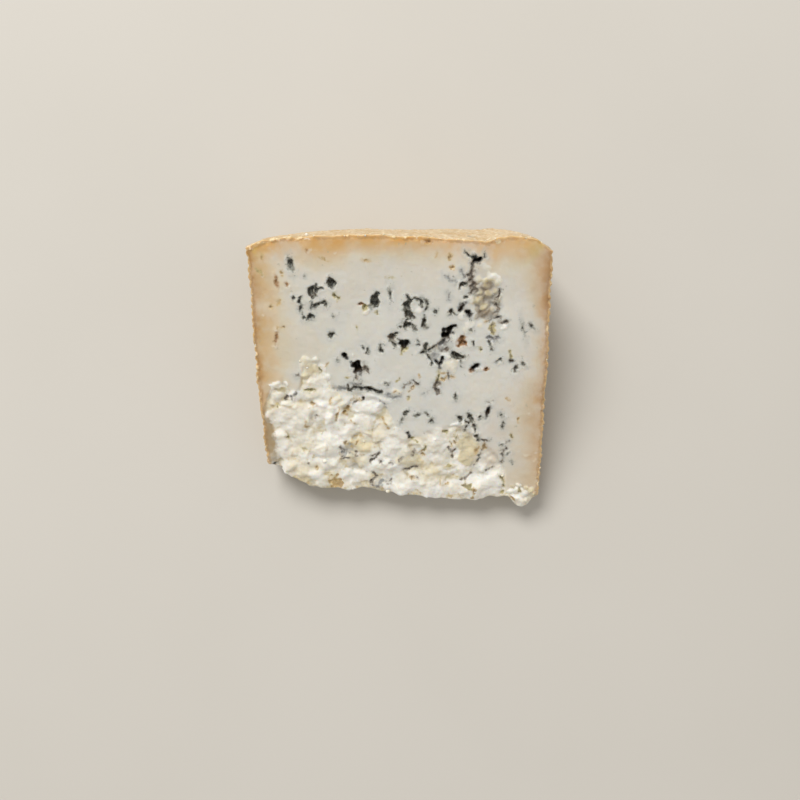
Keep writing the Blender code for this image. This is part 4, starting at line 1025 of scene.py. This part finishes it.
def paste_material():
    """Blue cheese paste, cut with a wire: moist, waxy and a little translucent.

    It gives the eye a soft satin ivory that turns tan under the rind, white and cream lumps with ochre
    gaps partly darkened with painted grey shade, and blue-grey to black mould in ragged pockets, the black of
    the deep holes partly painted shade, with a cool, speckled halo.
    """
    material, tree = new_material("blue cheese paste")
    base = linear(RIPENING_RIM[-1][1])
    ripenings = {"left_mm": RIPENING_LEFT, "right_mm": RIPENING_RIGHT, "rim_mm": RIPENING_RIM}
    for field, ripening in ripenings.items():
        inward = add_node(tree, "ShaderNodeMapRange", {
            "Value": ragged_field(tree, field, 1.3, 12), "From Min": 0, "From Max": RIPENING_DEPTH,
        })
        ramp = add_node(tree, "ShaderNodeValToRGB", {"Fac": inward.outputs["Result"]})
        set_stops(ramp, [(depth / RIPENING_DEPTH, code) for depth, code in ripening])
        darker = {0: 1.0, 6: base, 7: ramp.outputs["Color"]}
        base = add_node(tree, "ShaderNodeMix", darker, data_type="RGBA", blend_type="DARKEN").outputs[2]
    for code, size_mm, start, end, strength in PASTE_MOTTLES:
        base = patches(tree, base, linear(code), size_mm, start, end, strength)
    tone = add_node(tree, "ShaderNodeMapRange", {
        "Value": ragged_field(tree, "tone", 0.18, 2.2), "From Min": 0, "From Max": TONES[-1][0],
    })
    lumps = add_node(tree, "ShaderNodeValToRGB", {"Fac": tone.outputs["Result"]})
    set_stops(lumps, [(place / TONES[-1][0], code) for place, code in TONES])
    base = stain(tree, base, lumps.outputs["Color"], "crumbly", 0.2, 0.8, 0.92, 0.15, 2.0)
    # The crumbly part's gaps: an olive ochre tint mixed with a painted grey shade
    gaps = patches(tree, linear("#c2b48a"), linear("#b5b0a4"), 8, 0.45, 0.58, 1.0)
    base = stain(tree, base, gaps, "crease_tint_and_shade", 0.45, 1.2, 0.75, 0.5, 4.5)
    creases = add_node(tree, "ShaderNodeMath", {
        0: add_node(tree, "ShaderNodeAttribute", {}, attribute_name="crease_tint_and_shade").outputs["Fac"],
        1: add_node(tree, "ShaderNodeAttribute", {}, attribute_name="crumbly").outputs["Fac"],
    }, operation="MULTIPLY", use_clamp=True)
    base = patches(tree, base, linear("#bda265"), 1.7, 0.52, 0.66, 0.8, creases.outputs[0])
    # Painted shade: the lower ledge beside the left rind is darkened to a grey tan
    base = stain(tree, base, linear("#a39274"), "ledge", 0.3, 0.9, 0.8, 0.25, 1.6)
    for code, start, end, strength, wobble, size_mm in HALOS:
        base = stain(tree, base, linear(code), "halo_mm", start, end, strength, wobble, size_mm)
    # Painted highlight: the raised rims around the pockets are painted paler, partly paler paste
    lip_with_highlight = add_node(tree, "ShaderNodeAttribute", {}, attribute_name="lip_with_highlight").outputs["Fac"]
    base = patches(tree, base, linear("#e4e1d8"), 2.2, 0.42, 0.6, 0.5, lip_with_highlight)
    for kind, wobble, strength, tone, second in STAINS:
        base = stain(tree, base, linear(second), f"{kind}_mm", -0.60, 0.10, 0.6 * strength, wobble, 1.0)
        tones = patches(tree, linear(tone), linear("#4a3420"), 9, 0.5, 0.6, 0.55)
        tones = patches(tree, tones, linear(second), 1.2, 0.45, 0.62, 0.9)
        base = stain(tree, base, tones, f"{kind}_mm", -0.15, 0.35, strength, wobble, 1.0)
    hidden = add_node(tree, "ShaderNodeAttribute", {}, attribute_name="unseen").outputs["Fac"]
    base = patches(tree, base, linear("#8b8a80"), 6.5, 0.60, 0.66, 0.85, hidden)
    base = stain(tree, base, linear("#a98350"), "rind_mm", 1.6, 0.9, 0.45, 0.5, 1.8)
    base = stain(tree, base, linear("#cdaf80"), "rind_mm", 0.7, 0.3, 0.75, 0.5, 1.3)
    base = stain(tree, base, linear("#ecd7b0"), "flake", 0.15, 0.7, 0.7, 0.1, 0.8)
    place = add_node(tree, "ShaderNodeTexCoord", {}).outputs["Object"]
    grain = add_node(tree, "ShaderNodeTexNoise", {
        "Vector": place, "Scale": 1000 / PASTE_GRAIN_MM, "Detail": 5.0, "Roughness": 0.68,
    })
    crumbly = add_node(tree, "ShaderNodeAttribute", {}, attribute_name="crumbly").outputs["Fac"]
    strength = add_node(tree, "ShaderNodeMapRange", {"Value": crumbly, "To Min": 0.2, "To Max": 0.9})
    bump = add_node(tree, "ShaderNodeBump", {
        "Strength": strength.outputs["Result"], "Distance": 0.35 * MM, "Height": grain.outputs["Fac"],
    })
    satin = add_node(tree, "ShaderNodeMapRange", {
        "Value": grain.outputs["Fac"], "To Min": 0.36, "To Max": 0.62,
    })
    dull = add_node(tree, "ShaderNodeMapRange", {
        "Value": crumbly, "To Min": satin.outputs["Result"], "To Max": 0.78,
    })
    shader = add_node(tree, "ShaderNodeBsdfPrincipled", {
        "Base Color": base, "Roughness": dull.outputs["Result"],
        "IOR": 1.45, "Specular IOR Level": 0.45, "Normal": bump.outputs["Normal"],
        "Subsurface Weight": 0.75, "Subsurface Radius": (1.0, 0.8, 0.6), "Subsurface Scale": 2.2 * MM,
    }, subsurface_method="RANDOM_WALK")
    add_node(tree, "ShaderNodeOutputMaterial", {"Surface": shader.outputs["BSDF"]})
    return material


def rind_material(settings):
    """Natural rind, brushed and dried on a mat: dry, matt and finely granular.

    It gives the eye a straw-gold crust with pale bloom, darker grains in its pits and a few grey spots.
    """
    material, tree = new_material("natural cheese rind")
    base = patches(tree, tuple(settings.rind), linear("#bb9d72"), 9, 0.4, 0.7, 0.8)
    base = patches(tree, base, linear("#dccdaf"), 1.7, 0.46, 0.70, 0.75)
    base = patches(tree, base, linear("#aa8454"), 1.1, 0.56, 0.72, 0.65)
    base = patches(tree, base, linear("#a39a88"), 7, 0.66, 0.74, 0.6)
    base = stain(tree, base, linear("#ecd7b0"), "flake", 0.15, 0.7, 0.7, 0.1, 0.8)
    place = add_node(tree, "ShaderNodeTexCoord", {}).outputs["Object"]
    grit = add_node(tree, "ShaderNodeTexNoise", {
        "Vector": place, "Scale": 1000 / RIND_GRIT_MM, "Detail": 5.0, "Roughness": 0.7,
    })
    bump = add_node(tree, "ShaderNodeBump", {
        "Strength": 0.7, "Distance": 0.5 * MM, "Height": grit.outputs["Fac"],
    })
    shader = add_node(tree, "ShaderNodeBsdfPrincipled", {
        "Base Color": base, "Roughness": 0.78, "IOR": 1.45, "Specular IOR Level": 0.3,
        "Normal": bump.outputs["Normal"],
        "Subsurface Weight": 0.15, "Subsurface Radius": (1.0, 0.6, 0.35), "Subsurface Scale": 1.2 * MM,
    }, subsurface_method="RANDOM_WALK")
    add_node(tree, "ShaderNodeOutputMaterial", {"Surface": shader.outputs["BSDF"]})
    return material


def crumb_material(settings):
    """Loose crumbs of drier paste: nearly matt, from white to cream, each with its own shade."""
    material, tree = new_material("dry cheese crumb")
    base = patches(tree, tuple(settings.crumb), tuple(settings.cream), 2.5, 0.4, 0.65, 0.8)
    base = stain(tree, base, tuple(settings.rind), "golden", 0.2, 0.8, 0.9, 0.2, 0.8)
    shader = add_node(tree, "ShaderNodeBsdfPrincipled", {
        "Base Color": base, "Roughness": 0.8, "IOR": 1.45, "Specular IOR Level": 0.3,
        "Subsurface Weight": 0.4, "Subsurface Radius": (1.0, 0.8, 0.55), "Subsurface Scale": 1.0 * MM,
    }, subsurface_method="RANDOM_WALK")
    add_node(tree, "ShaderNodeOutputMaterial", {"Surface": shader.outputs["BSDF"]})
    return material


def floor_material(settings):
    """Matt painted studio board: a plain pale floor with a barely uneven tone."""
    material, tree = new_material("painted studio board")
    base = patches(tree, tuple(settings.floor), linear("#bdb8ae"), 120, 0.35, 0.7, 0.25)
    shader = add_node(tree, "ShaderNodeBsdfPrincipled", {"Base Color": base, "Roughness": 0.85})
    add_node(tree, "ShaderNodeOutputMaterial", {"Surface": shader.outputs["BSDF"]})
    return material


def ball(rings, around):
    """A closed ball of unit size: a grid of latitude and longitude between two poles."""
    latitude = np.linspace(0, math.pi, rings + 2)[1:-1]
    longitude = np.linspace(0, 2 * math.pi, around, endpoint=False)
    up, turn = np.meshgrid(latitude, longitude, indexing="ij")
    grid = np.stack((np.sin(up) * np.cos(turn), np.sin(up) * np.sin(turn), np.cos(up)), axis=-1)
    points = np.concatenate((grid.reshape(-1, 3), [[0, 0, 1], [0, 0, -1]]))
    number = np.arange(rings * around).reshape(rings, around)
    closed = np.concatenate((number, number[:, :1]), axis=1)
    quads = strip(closed)
    north, south = rings * around, rings * around + 1
    top = np.column_stack((closed[0, :-1], closed[0, 1:], np.full(around, north)))
    bottom = np.column_stack((closed[-1, 1:], closed[-1, :-1], np.full(around, south)))
    return points, quads, np.concatenate((top, bottom))


def scattered(places, normals, sizes, seed):
    """Lumpy balls, one at each place: squashed, dented by noise, turned at random and sunk a little."""
    rng = np.random.default_rng(seed)
    points, quads, triangles = ball(4, 7)
    stretch = rng.uniform(0.55, 1.25, (len(places), 1, 3))
    shapes = points[None] * stretch
    apart = rng.uniform(0, 30, (len(places), 1, 3))
    dents = value_noise((shapes + apart).reshape(-1, 3), 0.8, seed)
    shapes = shapes * (1 + CRUMB_DENTS * dents.reshape(len(places), -1, 1))
    turns = np.linalg.qr(rng.normal(size=(len(places), 3, 3)))[0]
    turns[:, :, 0] *= np.sign(np.linalg.det(turns))[:, None]
    shapes = np.einsum("nij,npj->npi", turns, shapes) * sizes[:, None, None]
    shapes = shapes + (places - normals * sizes[:, None] * CRUMB_SUNK)[:, None]
    offset = np.arange(len(places))[:, None, None] * len(points)
    faces = (quads[None] + offset).reshape(-1, 4).tolist()
    faces += (triangles[None] + offset).reshape(-1, 3).tolist()
    return shapes.reshape(-1, 3), faces, len(points)


def read_vectors(source, attribute):
    """One vector for each element of a mesh collection, as an array."""
    values = np.empty(len(source) * 3)
    source.foreach_get(attribute, values)
    return values.reshape(-1, 3)


class CHEESE_OT_wedge(bpy.types.Operator):
    """Make the wedge: one closed fine mesh with its cut face, crumbly core and rind"""

    bl_idname = "cheese.wedge"
    bl_label = "Make wedge"

    def execute(self, context):
        settings = context.scene.cheese_wedge
        size = np.array([settings.columns, settings.rows, settings.turns])
        places, paste, rind, base = lattice(*size)
        points, colours = dress(block_points(places, size), settings.mat_depth)
        points -= ORIGIN
        faces = paste.tolist() + rind.tolist() + base
        slots = [0] * len(paste) + [1] * len(rind) + [0] * len(base)
        materials = (paste_material(), rind_material(settings))
        wedge = fill_mesh("wedge_with_rind", points, faces, colours, materials, slots)
        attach(wedge, BODY)
        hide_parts(NODE)
        return {"FINISHED"}


class CHEESE_OT_crumbs(bpy.types.Operator):
    """Scatter the loose crumbs that cling to the crumbly core and the flakes along the rind's edge"""

    bl_idname = "cheese.crumbs"
    bl_label = "Scatter crumbs"

    def execute(self, context):
        settings = context.scene.cheese_crumbs
        wedge = bpy.data.objects["wedge_with_rind"].data
        rng = np.random.default_rng(61)
        places = read_vectors(wedge.vertices, "co")
        normals = read_vectors(wedge.vertex_normals, "vector")
        fields = {}
        for name in ("crumbly", "rind_mm", "unseen"):
            values = np.empty(len(places))
            wedge.attributes[name].data.foreach_get("value", values)
            fields[name] = values
        seen = fields["unseen"] < 0.4
        core = fields["crumbly"] * (fields["rind_mm"] > 1.5) * (places[:, 2] > 2 * MM)
        edge = seen * (fields["rind_mm"] < 0.7) * (places[:, 2] > 4 * MM)
        chosen = rng.choice(len(places), settings.count, False, core / core.sum())
        flakes = rng.choice(len(places), settings.edge_count, False, edge / edge.sum())
        picked = np.concatenate((chosen, flakes))
        sizes = settings.size * np.exp(rng.normal(0, CRUMB_SPREAD, len(picked)))
        sizes[len(chosen):] *= FLAKE_SIZE
        points, faces, each = scattered(places[picked], normals[picked], sizes, 62)
        golden = np.zeros(len(picked))
        golden[len(chosen):] = rng.uniform(0.2, 1, len(flakes))
        colours = {"golden": np.repeat(golden, each)}
        materials = (crumb_material(context.scene.cheese_wedge),)
        crumbs = fill_mesh("clinging_crumbs", points, faces, colours, materials, [0] * len(faces))
        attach(crumbs, BODY)
        return {"FINISHED"}


class CHEESE_OT_stage(bpy.types.Operator):
    """Lay the pale floor, light it from the back left and look straight down"""

    bl_idname = "cheese.stage"
    bl_label = "Set stage"

    def execute(self, context):
        settings = context.scene.cheese_stage
        scene = context.scene
        scene.view_settings.view_transform = "Standard"
        corners = FLOOR_HALF * np.array([(-1, -1, 0), (1, -1, 0), (1, 1, 0), (-1, 1, 0)])
        floor = fill_mesh("studio_floor", corners, [(0, 1, 2, 3)], {}, (floor_material(settings),), [0])
        world = bpy.data.worlds.new("studio air")
        world.use_nodes = True
        sky = world.node_tree.nodes["Background"]
        sky.inputs["Color"].default_value = AIR
        sky.inputs["Strength"].default_value = settings.fill
        scene.world = world
        lamp = bpy.data.lights.new("window key", "AREA")
        lamp.shape = "DISK"
        lamp.size = KEY_WIDTH
        lamp.energy = settings.key_power
        key = bpy.data.objects.new("window key", lamp)
        key.location = KEY_TOWARDS * KEY_DISTANCE
        key.rotation_euler = KEY_TOWARDS.to_track_quat("Z", "Y").to_euler()
        scene.collection.objects.link(key)
        lens = bpy.data.cameras.new("camera")
        lens.sensor_width = SENSOR
        lens.lens = SENSOR * CAMERA_HEIGHT / VIEW_WIDTH
        camera = bpy.data.objects.new("camera", lens)
        camera.location = (CAMERA_X, CAMERA_Y, CAMERA_HEIGHT)
        scene.collection.objects.link(camera)
        scene.camera = camera
        return {"FINISHED"}


class CHEESE_PT_panel(bpy.types.Panel):
    """Lists the wedge's operators and settings"""

    bl_idname = "CHEESE_PT_panel"
    bl_label = "Blue cheese wedge"
    bl_space_type = "VIEW_3D"
    bl_region_type = "UI"
    bl_category = "Cheese"

    def draw(self, context):
        for group in SETTINGS:
            box = self.layout.box()
            box.operator(group.replace("_", "."))
            settings = getattr(context.scene, group)
            for name in settings.bl_rna.properties.keys():
                if name not in ("rna_type", "name"):
                    box.prop(settings, name)


SETTINGS = {
    "cheese_wedge": CheeseWedgeSettings,
    "cheese_crumbs": CheeseCrumbSettings,
    "cheese_stage": CheeseStageSettings,
}
CLASSES = (*SETTINGS.values(), CHEESE_OT_wedge, CHEESE_OT_crumbs, CHEESE_OT_stage, CHEESE_PT_panel)


def register():
    for item in CLASSES:
        bpy.utils.register_class(item)
    for name, group in SETTINGS.items():
        setattr(bpy.types.Scene, name, PointerProperty(type=group))


def unregister():
    for name in SETTINGS:
        delattr(bpy.types.Scene, name)
    for item in reversed(CLASSES):
        bpy.utils.unregister_class(item)


def main():
    register()
    bpy.ops.cheese.wedge()
    bpy.ops.cheese.crumbs()
    bpy.ops.cheese.stage()


if __name__ == "__main__":
    main()
